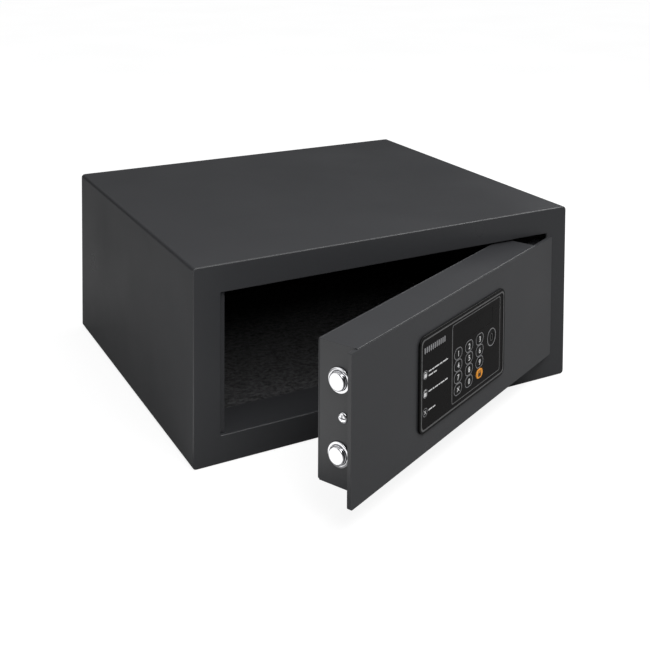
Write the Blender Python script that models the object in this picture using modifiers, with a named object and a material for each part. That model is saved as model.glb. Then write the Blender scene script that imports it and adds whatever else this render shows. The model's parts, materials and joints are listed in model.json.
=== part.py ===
"""In-room hotel safe: folded steel body, hinged door, keypad lock and motor-driven bolts.

The body stands on the XY plane with its front facing -Y. The origin is the centre of its footprint.
Lengths in the constants are millimetres. The door is modelled shut and hangs on a pivot that opens it.
"""
import math

import bmesh
import bpy
from mathutils import Matrix, Vector

MM = 0.001
GAP = 0.3                      # air between neighbouring pieces

# Body
BODY_WIDTH = 430.0
BODY_DEPTH = 380.0
BODY_HEIGHT = 186.0
SHEET = 2.0
BODY_EDGE_RADIUS = 3.8
BORDER_SIDE = 26.7             # front border beside the door
BORDER_LEVEL = 26.5            # front border above and below the door
RETURN_DEPTH = 48.0            # depth of the folded channels behind the front border
CARPET_THICKNESS = 4.0
ANCHOR_HOLE_RADIUS = 5.5
ANCHOR_SPACING = 240.0
FLOOR_ANCHOR_Y = 40.0
BACK_ANCHOR_LEVEL = 110.0
STOP_BEHIND_PLATE = 0.6
STRIKE_LAP = 16.0              # strike channel's flange behind the side border

# Door
PLATE_THICKNESS = 3.6
PLATE_GAP = 2.1
PLATE_GAP_TOP = 2.6
PLATE_CORNER = 2.5
PLATE_EDGE_RADIUS = 0.7
DOOR_DEPTH = 40.0              # door front to the back of its rear cover
DOOR_REST_ANGLE = 25.6         # degrees open
BOX_SETBACK = 9.2              # door box behind the free edge of the plate
BOX_RAISE = 9.8                # door box above the bottom edge of the plate
BOX_RISE = 0.8                 # door box above the top edge of the plate
BOX_LENGTH = 324.0
BOX_SHEET = 1.5
BOX_RIM = 10.0
COVER_SHEET = 1.2
COVER_SCREW_INSET = 5.5
COVER_HOLE_RADIUS = 1.8
EDGE_SCREW_PLACE = (14.2, 97.6)  # depth and level
EDGE_SCREW_HOLE_RADIUS = 2.4

# Hinge
PIN_INSET = 14.0               # pin axis from the side of the body
PIN_BEHIND = 8.0               # pin axis behind the front face
PIN_RADIUS = 3.0
ARM_HEIGHT = 22.0
ARM_THICKNESS = 3.0
ARM_REACH = 17.3               # centre line of the gooseneck from the pin axis
ARM_FOOT = 42.0
ARM_BARREL = 5.3
ARM_LEVELS = {"lower": 40.0, "upper": 124.0}
BRACKET_SHEET = 3.0

# Bolt work
BOLT_RADIUS = 8.0
BOLT_PROUD = 5.0
BOLT_THROW = 16.0
BOLT_DEPTH = 18.0              # bolt axis behind the door front
BOLT_LEVELS = {"upper": 127.9, "lower": 66.2}
RING_RADIUS = 10.8
RING_PROUD = 1.5
RING_WALL = 1.2
RING_SLEEVE = 6.0
CARRIAGE_OFFSET = 27.0         # carriage flange behind the door's free side
CARRIAGE_SHEET = 3.0
CARRIAGE_WEB = 46.0
CARRIAGE_LEVELS = (55.0, 140.0)
WEB_DEPTH = 28.0
STUD_OFFSET = 13.0             # guide studs from the carriage flange
STUD_LEVELS = {"upper": 118.0, "lower": 76.0}
STUD_RADIUS = 2.5
GEAR_MODULE = 1.25
PINION_TEETH = 12
PRESSURE_ANGLE = math.radians(25.0)
TOOTH_SLACK = 0.5
RACK_THICKNESS = 4.0
MOTOR_SHAFT_RADIUS = 1.5
MOTOR_CASE = {"left": 12.0, "right": 11.5, "below": 22.0, "above": 12.0}

# Keypad
PANEL_CENTRE = (-5.6, 91.75)
PANEL_SIZE = (160.2, 87.5)
PANEL_CORNER = 8.0
PANEL_PROUD = 2.0
OVERLAY_SIZE = (151.2, 80.0)
TUB_SIZE = (156.0, 83.0)
TUB_INSIDE = (146.0, 74.0)
TUB_DEPTH = 12.0
OVERLAY_SINK = 0.4             # overlay behind the bezel's front
SKIRT_WIDTH = 0.8              # key skirt beyond its cap
BOARD_BACK = 6.6               # circuit board's back behind the door front
KEY_SIZE = (12.8, 8.8)
KEY_FIRST = (-17.8, 99.8)      # centre of the key at the top left
KEY_PITCH = (20.5, 11.2)
KEY_ROWS = (("1", "2", "3"), ("4", "5", "6"), ("7", "8", "9"), ("clear", "0", "lock"))
DISPLAY_CENTRE = (20.5, 116.0)
DISPLAY_SIZE = (56.0, 15.0)
OVERRIDE_CENTRE = (47.2, 93.8)
OVERRIDE_RADIUS = 7.6
PLUG_RADIUS = 4.5
LOCK_LENGTH = 17.0
KEYWAY_SIZE = (1.4, 5.8)
TAIL_RADIUS = 2.2

# Batteries
CELL_RADIUS = 7.1
CELL_LENGTH = 50.0
CELL_PITCH = 14.8
CELL_COUNT = 4
HOLDER_CENTRE = (106.0, 95.0)
HOLDER_WALL = 1.5
BATTERY_COVER_SIZE = (66.0, 69.4)
BATTERY_COVER_SLIDE = 56.0
BATTERY_COVER_SHEET = 1.5
HOLDER_DEPTH = 20.0            # holder's floor behind the door front
CABLE_LEVEL = 76.0
CABLE_RADIUS = 1.1

# Places that follow from the sizes above
LEFT = -BODY_WIDTH / 2
RIGHT = BODY_WIDTH / 2
FRONT = -BODY_DEPTH / 2
BACK = BODY_DEPTH / 2
OPEN_LEFT = LEFT + BORDER_SIDE
OPEN_RIGHT = RIGHT - BORDER_SIDE
OPEN_LOW = BORDER_LEVEL
OPEN_HIGH = BODY_HEIGHT - BORDER_LEVEL
PLATE_LEFT = OPEN_LEFT + PLATE_GAP
PLATE_RIGHT = OPEN_RIGHT - PLATE_GAP
PLATE_LOW = OPEN_LOW + PLATE_GAP
PLATE_HIGH = OPEN_HIGH - PLATE_GAP_TOP
BOX_LEFT = PLATE_LEFT + BOX_SETBACK
BOX_RIGHT = BOX_LEFT + BOX_LENGTH
BOX_LOW = PLATE_LOW + BOX_RAISE
BOX_HIGH = PLATE_HIGH + BOX_RISE
PIN_X = RIGHT - PIN_INSET
PIN_Y = FRONT + PIN_BEHIND
STOP_EDGE = BOX_LEFT - 5.7     # edge of the strike channel that the bolts swing past
PINION_X = BOX_LEFT + 80.0
PINION_RADIUS = GEAR_MODULE * PINION_TEETH / 2
RACK_PITCH_LEVEL = 96.0
CUTTER_REACH = 5.0             # cutters run this far past the material they cut

FINISHES = {
    "graphite_powder_coat": ((0.045, 0.046, 0.048), 0.55, 0.0),
    "black_powder_coat": ((0.012, 0.012, 0.013), 0.6, 0.0),
    "charcoal_carpet": ((0.02, 0.02, 0.02), 0.95, 0.0),
    "chrome": ((0.8, 0.8, 0.82), 0.08, 1.0),
    "zinc_steel": ((0.55, 0.55, 0.56), 0.35, 1.0),
    "gloss_black": ((0.01, 0.01, 0.011), 0.15, 0.0),
    "black_plastic": ((0.02, 0.02, 0.021), 0.45, 0.0),
    "orange_plastic": ((0.9, 0.33, 0.02), 0.35, 0.0),
    "smoked_glass": ((0.015, 0.015, 0.017), 0.06, 0.0),
    "board_green": ((0.02, 0.12, 0.05), 0.5, 0.0),
    "cell_jacket": ((0.05, 0.2, 0.1), 0.35, 0.0),
    "brass": ((0.6, 0.42, 0.14), 0.3, 1.0),
    "white_plastic": ((0.6, 0.6, 0.57), 0.5, 0.0),
}


def depth(behind_front):
    """Y of a place that is so many millimetres behind the shut door's front."""
    return FRONT + behind_front


def clear_scene():
    for old in list(bpy.data.objects):
        bpy.data.objects.remove(old, do_unlink=True)


def make_collection(name):
    collection = bpy.data.collections.new(name)
    bpy.context.scene.collection.children.link(collection)
    return collection


def make_material(name):
    colour, roughness, metallic = FINISHES[name]
    material = bpy.data.materials.new(name)
    material.use_nodes = True
    shader = material.node_tree.nodes["Principled BSDF"]
    shader.inputs["Base Color"].default_value = (*colour, 1.0)
    shader.inputs["Roughness"].default_value = roughness
    shader.inputs["Metallic"].default_value = metallic
    material.diffuse_color = (*colour, 1.0)
    return material


clear_scene()
PARTS = make_collection("in_room_safe")
CUTTERS = make_collection("cutters")
MATERIALS = {name: make_material(name) for name in FINISHES}

# ---------------------------------------------------------------- building tools


def place(piece, finish, pivot):
    """Give a piece its material, or make it a cutter, and hang it on its pivot."""
    if finish is None:
        CUTTERS.objects.link(piece)
        piece.hide_render = True
        piece.display_type = "WIRE"
    else:
        PARTS.objects.link(piece)
        piece.data.materials.clear()
        piece.data.materials.append(MATERIALS[finish])
    if pivot is not None:
        piece.parent = pivot
        piece.matrix_parent_inverse = Matrix.Translation(-pivot.location)
    return piece


def add_pivot(name, location, angle=0.0):
    pivot = bpy.data.objects.new(name, None)
    pivot.location = Vector(location) * MM
    pivot.rotation_euler = (0.0, 0.0, math.radians(angle))
    PARTS.objects.link(pivot)
    return pivot


def round_edges(piece, radius, segments=2, angle=40.0):
    bevel = piece.modifiers.new("round_edges", "BEVEL")
    bevel.width = radius * MM
    bevel.segments = segments
    bevel.limit_method = "ANGLE"
    bevel.angle_limit = math.radians(angle)
    return piece


def boolean(piece, other, operation):
    modifier = piece.modifiers.new(other.name, "BOOLEAN")
    modifier.operation = operation
    modifier.solver = "EXACT"
    modifier.object = other
    return piece


def block(name, low, high, finish, pivot=None):
    """Box between two corners, with its origin at its centre."""
    low = Vector(low) * MM
    high = Vector(high) * MM
    mesh = bpy.data.meshes.new(name)
    shape = bmesh.new()
    bmesh.ops.create_cube(shape, size=1.0)
    bmesh.ops.scale(shape, vec=high - low, verts=shape.verts)
    shape.to_mesh(mesh)
    shape.free()
    piece = bpy.data.objects.new(name, mesh)
    piece.location = (low + high) / 2
    return place(piece, finish, pivot)


def rod(name, centre, axis, radius, length, finish, pivot=None, sides=32):
    """Cylinder along an axis, with its origin at its centre."""
    mesh = bpy.data.meshes.new(name)
    shape = bmesh.new()
    bmesh.ops.create_cone(shape, cap_ends=True, segments=sides, radius1=radius * MM,
                          radius2=radius * MM, depth=length * MM)
    shape.to_mesh(mesh)
    shape.free()
    mesh.shade_smooth()
    mesh.set_sharp_from_angle(angle=math.radians(40.0))
    piece = bpy.data.objects.new(name, mesh)
    piece.location = Vector(centre) * MM
    piece.rotation_euler = Vector(axis).to_track_quat("Z", "Y").to_euler()
    return place(piece, finish, pivot)


def turned(name, profile, origin, axis, finish, pivot=None, steps=32, ring=False):
    """Turned piece. The profile lists (radius, height along the axis), from the top end down."""
    mesh = bpy.data.meshes.new(name)
    shape = bmesh.new()
    points = [shape.verts.new((radius * MM, 0.0, height * MM)) for radius, height in profile]
    for first, second in zip(points, points[1:]):
        shape.edges.new((first, second))
    if ring:
        shape.edges.new((points[-1], points[0]))
    shape.to_mesh(mesh)
    shape.free()
    piece = bpy.data.objects.new(name, mesh)
    piece.location = Vector(origin) * MM
    piece.rotation_euler = Vector(axis).to_track_quat("Z", "Y").to_euler()
    screw = piece.modifiers.new("turn", "SCREW")
    screw.axis = "Z"
    screw.steps = steps
    screw.render_steps = steps
    screw.use_merge_vertices = True
    screw.merge_threshold = 0.00001
    screw.use_smooth_shade = True
    return place(piece, finish, pivot)


PLANES = {
    "XY": Matrix(((1, 0, 0), (0, 1, 0), (0, 0, 1))),
    "XZ": Matrix(((1, 0, 0), (0, 0, -1), (0, 1, 0))),
    "YZ": Matrix(((0, 0, 1), (1, 0, 0), (0, 1, 0))),
}


def sheet(name, plane, outline, start, end, finish, pivot=None, holes=(), origin=(0.0, 0.0)):
    """Flat outline with holes, given thickness between two places across its plane.

    The piece's origin lies at the given point of the plane, halfway through the thickness.
    """
    curve = bpy.data.curves.new(name, "CURVE")
    curve.dimensions = "2D"
    curve.fill_mode = "BOTH"
    curve.extrude = abs(end - start) / 2 * MM
    for loop in (outline, *holes):
        spline = curve.splines.new("POLY")
        spline.points.add(len(loop) - 1)
        for point, (across, up) in zip(spline.points, loop):
            point.co = ((across - origin[0]) * MM, (up - origin[1]) * MM, 0.0, 1.0)
        spline.use_cyclic_u = True
    flat = bpy.data.objects.new(name + "_outline", curve)
    bpy.context.scene.collection.objects.link(flat)
    bpy.context.view_layer.update()
    evaluated = flat.evaluated_get(bpy.context.evaluated_depsgraph_get())
    mesh = bpy.data.meshes.new_from_object(evaluated)
    bpy.data.objects.remove(flat, do_unlink=True)
    mesh.name = name
    turn = PLANES[plane]
    shape = bmesh.new()
    shape.from_mesh(mesh)
    bmesh.ops.remove_doubles(shape, verts=shape.verts, dist=0.000001)
    bmesh.ops.dissolve_limit(shape, angle_limit=0.01, verts=shape.verts, edges=shape.edges)
    bmesh.ops.transform(shape, matrix=turn.to_4x4(), verts=shape.verts)
    bmesh.ops.recalc_face_normals(shape, faces=shape.faces)
    shape.to_mesh(mesh)
    shape.free()
    piece = bpy.data.objects.new(name, mesh)
    middle = (start + end) / 2
    across_normal = Vector((abs(turn[0][2]), abs(turn[1][2]), abs(turn[2][2])))
    in_plane = turn @ Vector((origin[0], origin[1], 0.0))
    piece.location = (in_plane + across_normal * middle) * MM
    return place(piece, finish, pivot)


def circle(centre, radius, sides=24):
    angles = [2 * math.pi * index / sides for index in range(sides)]
    return [(centre[0] + radius * math.cos(a), centre[1] + radius * math.sin(a)) for a in angles]


def arc(centre, radius, start, end, steps):
    """Points along an arc, from one angle to another in degrees."""
    angles = [math.radians(start + (end - start) * index / steps) for index in range(steps + 1)]
    return [(centre[0] + radius * math.cos(a), centre[1] + radius * math.sin(a)) for a in angles]


def rounded_rectangle(centre, size, radius, steps=5):
    reach_x = size[0] / 2 - radius
    reach_y = size[1] / 2 - radius
    corners = ((1, 1, 0), (-1, 1, 90), (-1, -1, 180), (1, -1, 270))
    points = []
    for side_x, side_y, turn in corners:
        corner = (centre[0] + side_x * reach_x, centre[1] + side_y * reach_y)
        points += arc(corner, radius, turn, turn + 90, steps)
    return points


def rectangle(left, right, low, high):
    return [(left, low), (right, low), (right, high), (left, high)]


def pill(centre, size, steps=8):
    """Outline with two straight sides and two half-round ends."""
    radius = size[1] / 2
    reach = size[0] / 2 - radius
    right_end = arc((centre[0] + reach, centre[1]), radius, -90, 90, steps)
    left_end = arc((centre[0] - reach, centre[1]), radius, 90, 270, steps)
    return right_end + left_end


# ---------------------------------------------------------------- body


def build_body_shell():
    shell = block("body_shell", (LEFT, FRONT, 0), (RIGHT, BACK, BODY_HEIGHT), "graphite_powder_coat")
    round_edges(shell, BODY_EDGE_RADIUS, segments=4)
    hollow = block("hollow_cutter", (LEFT + SHEET, FRONT + SHEET, SHEET),
                   (RIGHT - SHEET, BACK + CUTTER_REACH, BODY_HEIGHT - SHEET), None)
    boolean(shell, hollow, "DIFFERENCE")
    opening = block("opening_cutter", (OPEN_LEFT, FRONT - CUTTER_REACH, OPEN_LOW),
                    (OPEN_RIGHT, FRONT + 2 * SHEET, OPEN_HIGH), None)
    boolean(shell, opening, "DIFFERENCE")
    for side in (-1, 1):
        place_on_floor = (side * ANCHOR_SPACING / 2, FLOOR_ANCHOR_Y, SHEET / 2)
        hole = rod(f"floor_anchor_cutter_{side}", place_on_floor, (0, 0, 1), ANCHOR_HOLE_RADIUS, 3 * SHEET,
                   None)
        boolean(shell, hole, "DIFFERENCE")


def build_back_panel():
    outline = rectangle(LEFT + SHEET + GAP, RIGHT - SHEET - GAP, SHEET + GAP, BODY_HEIGHT - SHEET - GAP)
    holes = [circle((side * ANCHOR_SPACING / 2, BACK_ANCHOR_LEVEL), ANCHOR_HOLE_RADIUS) for side in (-1, 1)]
    inset = 0.5
    sheet("back_panel", "XZ", outline, BACK - inset - SHEET, BACK - inset, "graphite_powder_coat",
          holes=holes)


def build_channel(name, level, wall_end, into_border):
    """Folded channel behind the top or bottom border: a ledge, and a wall at its back."""
    near = depth(SHEET + GAP)
    far = depth(RETURN_DEPTH)
    outline = [(near, level), (far, level), (far, wall_end), (far - SHEET, wall_end),
               (far - SHEET, level + into_border * SHEET), (near, level + into_border * SHEET)]
    sheet(name, "YZ", outline, LEFT + SHEET + GAP, RIGHT - SHEET - GAP, "black_powder_coat")


def build_strike_channel():
    """Folded jamb at the free side: a stop flange, a web that takes the bolts, and a return."""
    behind_border = depth(SHEET + GAP)
    stop = depth(PLATE_THICKNESS + STOP_BEHIND_PLATE)
    far = depth(RETURN_DEPTH - SHEET)
    lap = OPEN_LEFT - STRIKE_LAP
    step = OPEN_LEFT - 2 * GAP
    wall = LEFT + SHEET + GAP
    outline = [(lap, behind_border), (step, behind_border), (step, stop), (STOP_EDGE, stop),
               (STOP_EDGE, far), (wall, far), (wall, far - SHEET), (STOP_EDGE - SHEET, far - SHEET),
               (STOP_EDGE - SHEET, stop + SHEET), (lap, stop + SHEET)]
    channel = sheet("strike_channel", "XY", outline, OPEN_LOW + GAP, OPEN_HIGH - GAP,
                    "black_powder_coat")
    for name, level in BOLT_LEVELS.items():
        hole = rod(f"strike_hole_cutter_{name}", (STOP_EDGE - SHEET / 2, depth(BOLT_DEPTH), level),
                   (1, 0, 0), BOLT_RADIUS + 4 * GAP, 3 * SHEET, None)
        boolean(channel, hole, "DIFFERENCE")


def build_carpet():
    low = SHEET + GAP
    side_gap = 2 * GAP
    block("carpet_mat", (LEFT + SHEET + side_gap, depth(RETURN_DEPTH + GAP), low),
          (RIGHT - SHEET - side_gap, BACK - SHEET - 2 * side_gap, low + CARPET_THICKNESS), "charcoal_carpet")


# ---------------------------------------------------------------- hinges


def build_hinge(name, low, door):
    """One hinge: a bracket and its pin on the body, and a gooseneck arm on the door."""
    high = low + ARM_HEIGHT
    ear = BRACKET_SHEET
    slack = 2 * GAP
    web_out = RIGHT - SHEET - GAP
    web_in = web_out - BRACKET_SHEET
    ear_end = PIN_X - 2 * PIN_RADIUS
    ear_near = PIN_Y - 5.5
    ear_far = PIN_Y + PIN_BEHIND
    outline = [(ear_end, low - slack - ear), (web_out, low - slack - ear), (web_out, high + slack + ear),
               (ear_end, high + slack + ear), (ear_end, high + slack), (web_in, high + slack),
               (web_in, low - slack), (ear_end, low - slack)]
    bracket = sheet(f"hinge_bracket_{name}", "XZ", outline, ear_near, ear_far, "zinc_steel")
    pin_hole = rod(f"pin_hole_cutter_{name}", (PIN_X, PIN_Y, low + ARM_HEIGHT / 2), (0, 0, 1),
                   PIN_RADIUS + GAP, 2 * ARM_HEIGHT, None)
    boolean(bracket, pin_hole, "DIFFERENCE")

    seat = high + slack + ear + GAP
    top = seat + 2.0
    foot = low - slack - ear - 1.5
    head_radius = 4.6
    chamfer = 0.6
    turned(f"hinge_pin_{name}",
           [(0, top), (head_radius - chamfer, top), (head_radius, top - chamfer), (head_radius, seat),
            (PIN_RADIUS, seat), (PIN_RADIUS, foot + chamfer), (PIN_RADIUS - chamfer, foot), (0, foot)],
           (PIN_X, PIN_Y, 0), (0, 0, 1), "zinc_steel", steps=24)

    half = ARM_THICKNESS / 2
    foot_near = PLATE_THICKNESS + GAP - PIN_BEHIND
    near = ARM_REACH - half
    far = ARM_REACH + half
    meet = math.degrees(math.acos(half / ARM_BARREL))
    barrel = arc((0, 0), ARM_BARREL, 180 - meet, 360 + meet, 20)
    outline = [(-ARM_FOOT, foot_near), (-near, foot_near), (-near, near), (-half, near), *barrel,
               (half, far), (-far, far), (-far, foot_near + ARM_THICKNESS),
               (-ARM_FOOT, foot_near + ARM_THICKNESS)]
    outline = [(PIN_X + x, PIN_Y + y) for x, y in outline]
    sheet(f"hinge_arm_{name}", "XY", outline, low, high, "black_powder_coat", pivot=door,
          holes=[circle((PIN_X, PIN_Y), PIN_RADIUS + GAP)], origin=(PIN_X, PIN_Y))


# ---------------------------------------------------------------- door


def build_door_plate(door):
    plate_centre = ((PLATE_LEFT + PLATE_RIGHT) / 2, (PLATE_LOW + PLATE_HIGH) / 2)
    plate_size = (PLATE_RIGHT - PLATE_LEFT, PLATE_HIGH - PLATE_LOW)
    outline = rounded_rectangle(plate_centre, plate_size, PLATE_CORNER, steps=4)
    window = rounded_rectangle(PANEL_CENTRE, (TUB_SIZE[0] + 2 * GAP, TUB_SIZE[1] + 2 * GAP), 3.3, steps=3)
    plate = sheet("door_plate", "XZ", outline, depth(0), depth(PLATE_THICKNESS), "graphite_powder_coat",
                  pivot=door, holes=[window])
    round_edges(plate, PLATE_EDGE_RADIUS, segments=2, angle=60.0)


def build_door_box(door):
    """Folded steel pan on the back of the plate, with a rim that the rear cover screws to."""
    near = depth(PLATE_THICKNESS + GAP)
    far = depth(DOOR_DEPTH - COVER_SHEET - GAP)
    pan = block("door_box", (BOX_LEFT, near, BOX_LOW), (BOX_RIGHT, far, BOX_HIGH),
                "graphite_powder_coat", pivot=door)
    round_edges(pan, 1.0, segments=2)
    inside = block("box_inside_cutter", (BOX_LEFT + BOX_SHEET, near - CUTTER_REACH, BOX_LOW + BOX_SHEET),
                   (BOX_RIGHT - BOX_SHEET, far - BOX_SHEET, BOX_HIGH - BOX_SHEET), None, pivot=door)
    boolean(pan, inside, "DIFFERENCE")
    mouth = block("box_mouth_cutter", (BOX_LEFT + BOX_RIM, far - CUTTER_REACH, BOX_LOW + BOX_RIM),
                  (BOX_RIGHT - BOX_RIM, far + CUTTER_REACH, BOX_HIGH - BOX_RIM), None, pivot=door)
    boolean(pan, mouth, "DIFFERENCE")
    hole_length = 2 * CUTTER_REACH
    for name, level in BOLT_LEVELS.items():
        hole = rod(f"bolt_hole_cutter_{name}", (BOX_LEFT, depth(BOLT_DEPTH), level), (1, 0, 0),
                   BOLT_RADIUS + RING_WALL + 2 * GAP, hole_length, None, pivot=door)
        boolean(pan, hole, "DIFFERENCE")
    behind, screw_level = EDGE_SCREW_PLACE
    screw_hole = rod("edge_screw_hole_cutter", (BOX_LEFT, depth(behind), screw_level), (1, 0, 0),
                     EDGE_SCREW_HOLE_RADIUS, hole_length, None, pivot=door, sides=16)
    boolean(pan, screw_hole, "DIFFERENCE")
    for index, (across, level) in enumerate(cover_screw_places()):
        hole = rod(f"rim_hole_cutter_{index}", (across, far, level), (0, 1, 0), COVER_HOLE_RADIUS,
                   hole_length, None, pivot=door, sides=12)
        boolean(pan, hole, "DIFFERENCE")


def cover_screw_places():
    return [(across, level) for across in (BOX_LEFT + COVER_SCREW_INSET, BOX_RIGHT - COVER_SCREW_INSET)
            for level in (BOX_LOW + COVER_SCREW_INSET, BOX_HIGH - COVER_SCREW_INSET)]


def build_rear_cover(door):
    """Flat cover on the back of the door, with the battery opening and the rails of its lid."""
    near = depth(DOOR_DEPTH - COVER_SHEET)
    far = depth(DOOR_DEPTH)
    outline = rounded_rectangle(((BOX_LEFT + BOX_RIGHT) / 2, (BOX_LOW + BOX_HIGH) / 2),
                                (BOX_LENGTH - 2 * GAP, BOX_HIGH - BOX_LOW - 2 * GAP), 1.5, steps=2)
    holes = [circle(centre, COVER_HOLE_RADIUS, sides=12) for centre in cover_screw_places()]
    holes.append(rectangle(*battery_opening()))
    cover = sheet("rear_cover", "XZ", outline, near, far, "graphite_powder_coat", pivot=door, holes=holes)
    lid_half = BATTERY_COVER_SIZE[1] / 2
    rail_end = 2.0
    rail_left = HOLDER_CENTRE[0] - BATTERY_COVER_SIZE[0] / 2 - BATTERY_COVER_SLIDE - rail_end
    rail_right = HOLDER_CENTRE[0] + BATTERY_COVER_SIZE[0] / 2 + rail_end
    rail_wall = 1.6
    lip_reach = 2.5
    lip_sheet = 1.0
    for side, name in ((1, "upper"), (-1, "lower")):
        foot = HOLDER_CENTRE[1] + side * (lid_half + GAP)
        back = foot + side * rail_wall
        lip = foot - side * lip_reach
        root = far - COVER_SHEET / 2
        lip_near = far + BATTERY_COVER_SHEET + 2 * GAP
        outline = [(root, foot), (lip_near, foot), (lip_near, lip), (lip_near + lip_sheet, lip),
                   (lip_near + lip_sheet, back), (root, back)]
        rail = sheet(f"lid_rail_{name}", "YZ", outline, rail_left, rail_right, None, pivot=door)
        boolean(cover, rail, "UNION")


def screw_profile(head_radius, head_height, shank_radius, length):
    """Pan head above zero height, shank below it."""
    return [(0, head_height), (head_radius * 0.62, head_height), (head_radius * 0.88, head_height * 0.72),
            (head_radius, head_height * 0.3), (head_radius, 0), (shank_radius, 0),
            (shank_radius, -length + 0.5), (shank_radius * 0.6, -length), (0, -length)]


def build_cross_screw(name, seat, axis, head_radius, head_height, shank_radius, length, door):
    """Pan-head screw with a cross recess. The seat is the middle of the head's underside."""
    profile = screw_profile(head_radius, head_height, shank_radius, length)
    screw = turned(name, profile, seat, axis, "chrome", pivot=door, steps=20)
    direction = Vector(axis).normalized()
    middle = Vector(seat) + direction * head_height
    reach = head_radius * 0.62
    half_slot = 0.45
    half_deep = head_height * 0.55
    for other, half_size in (("a", (reach, half_slot, half_deep)), ("b", (half_slot, reach, half_deep))):
        size = Vector(half_size)
        slot = block(f"{name}_recess_{other}", -size, size, None, pivot=door)
        slot.location = middle * MM
        slot.rotation_euler = direction.to_track_quat("Z", "Y").to_euler()
        boolean(screw, slot, "DIFFERENCE")


# ---------------------------------------------------------------- bolt work


def build_bolts(door, carriage):
    """Two round bolts, their guide rings in the door's side, and the carriage that joins them."""
    flange_left = BOX_LEFT + CARRIAGE_OFFSET
    end = BOLT_PROUD
    tail = -(CARRIAGE_OFFSET - GAP)
    bore = BOLT_RADIUS + GAP
    sleeve = bore + RING_WALL
    flange_top = RING_PROUD + GAP
    for name, level in BOLT_LEVELS.items():
        seat = (BOX_LEFT, depth(BOLT_DEPTH), level)
        turned(f"bolt_{name}",
               [(0, end), (BOLT_RADIUS - 1.3, end), (BOLT_RADIUS - 0.4, end - 0.4),
                (BOLT_RADIUS, end - 1.3), (BOLT_RADIUS, tail), (0, tail)],
               seat, (-1, 0, 0), "chrome", pivot=carriage, steps=40)
        turned(f"bolt_ring_{name}",
               [(bore + 0.5, flange_top), (RING_RADIUS - 0.8, flange_top),
                (RING_RADIUS - 0.2, flange_top - 0.3), (RING_RADIUS, flange_top - 0.9),
                (RING_RADIUS, GAP), (sleeve, GAP), (sleeve, -RING_SLEEVE), (bore, -RING_SLEEVE),
                (bore, flange_top - 0.5)],
               seat, (-1, 0, 0), "chrome", pivot=door, steps=40, ring=True)

    web_right = flange_left + CARRIAGE_WEB
    flange_near = depth(BOLT_DEPTH - BOLT_RADIUS - 1)
    web_near = depth(WEB_DEPTH)
    web_far = depth(WEB_DEPTH + CARRIAGE_SHEET)
    outline = [(flange_left, flange_near), (flange_left + CARRIAGE_SHEET, flange_near),
               (flange_left + CARRIAGE_SHEET, web_near), (web_right, web_near), (web_right, web_far),
               (flange_left, web_far)]
    frame = sheet("bolt_carriage", "XY", outline, *CARRIAGE_LEVELS, "zinc_steel", pivot=carriage)
    stud_x = flange_left + STUD_OFFSET
    slot_width = 2 * (STUD_RADIUS + GAP) + 0.2
    slot_size = (BOLT_THROW + slot_width + 0.8, slot_width)
    seat = WEB_DEPTH + CARRIAGE_SHEET + GAP
    root = PLATE_THICKNESS + GAP - seat
    head = 2.0
    head_radius = STUD_RADIUS + 2.3
    chamfer = 0.6
    for name, level in STUD_LEVELS.items():
        slot_centre = (stud_x + BOLT_THROW / 2, level)
        slot = sheet(f"guide_slot_cutter_{name}", "XZ", pill(slot_centre, slot_size),
                     web_near - CUTTER_REACH, web_far + CUTTER_REACH, None, pivot=carriage)
        boolean(frame, slot, "DIFFERENCE")
        turned(f"guide_stud_{name}",
               [(0, head), (head_radius - chamfer, head), (head_radius, head - chamfer), (head_radius, 0),
                (STUD_RADIUS, 0), (STUD_RADIUS, root), (0, root)],
               (stud_x, depth(seat), level), (0, 1, 0), "zinc_steel", pivot=door, steps=20)


def build_rack(carriage):
    """Toothed bar on the carriage, with its teeth facing down at the pinion."""
    pitch = math.pi * GEAR_MODULE
    addendum = 0.9 * GEAR_MODULE
    dedendum = 1.15 * GEAR_MODULE
    lean = math.tan(PRESSURE_ANGLE)
    half_pitch_line = (pitch - TOOTH_SLACK) / 4
    tip_half = half_pitch_line - addendum * lean
    root_half = half_pitch_line + dedendum * lean
    left = BOX_LEFT + CARRIAGE_OFFSET + CARRIAGE_SHEET + 1.0
    right = PINION_X + BOLT_THROW + 6.0
    tip = RACK_PITCH_LEVEL - addendum
    root = RACK_PITCH_LEVEL + dedendum
    top = root + 6.0
    outline = [(left, top), (left, root)]
    teeth_before_pinion = 3
    teeth = int((right - root_half - PINION_X) / pitch + teeth_before_pinion + 0.5)
    for index in range(teeth):
        middle = PINION_X + (index - teeth_before_pinion + 0.5) * pitch
        outline += [(middle - root_half, root), (middle - tip_half, tip), (middle + tip_half, tip),
                    (middle + root_half, root)]
    outline += [(right, root), (right, top)]
    near = depth(WEB_DEPTH - GAP - RACK_THICKNESS)
    sheet("drive_rack", "XZ", outline, near, near + RACK_THICKNESS, "zinc_steel", pivot=carriage)


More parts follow.
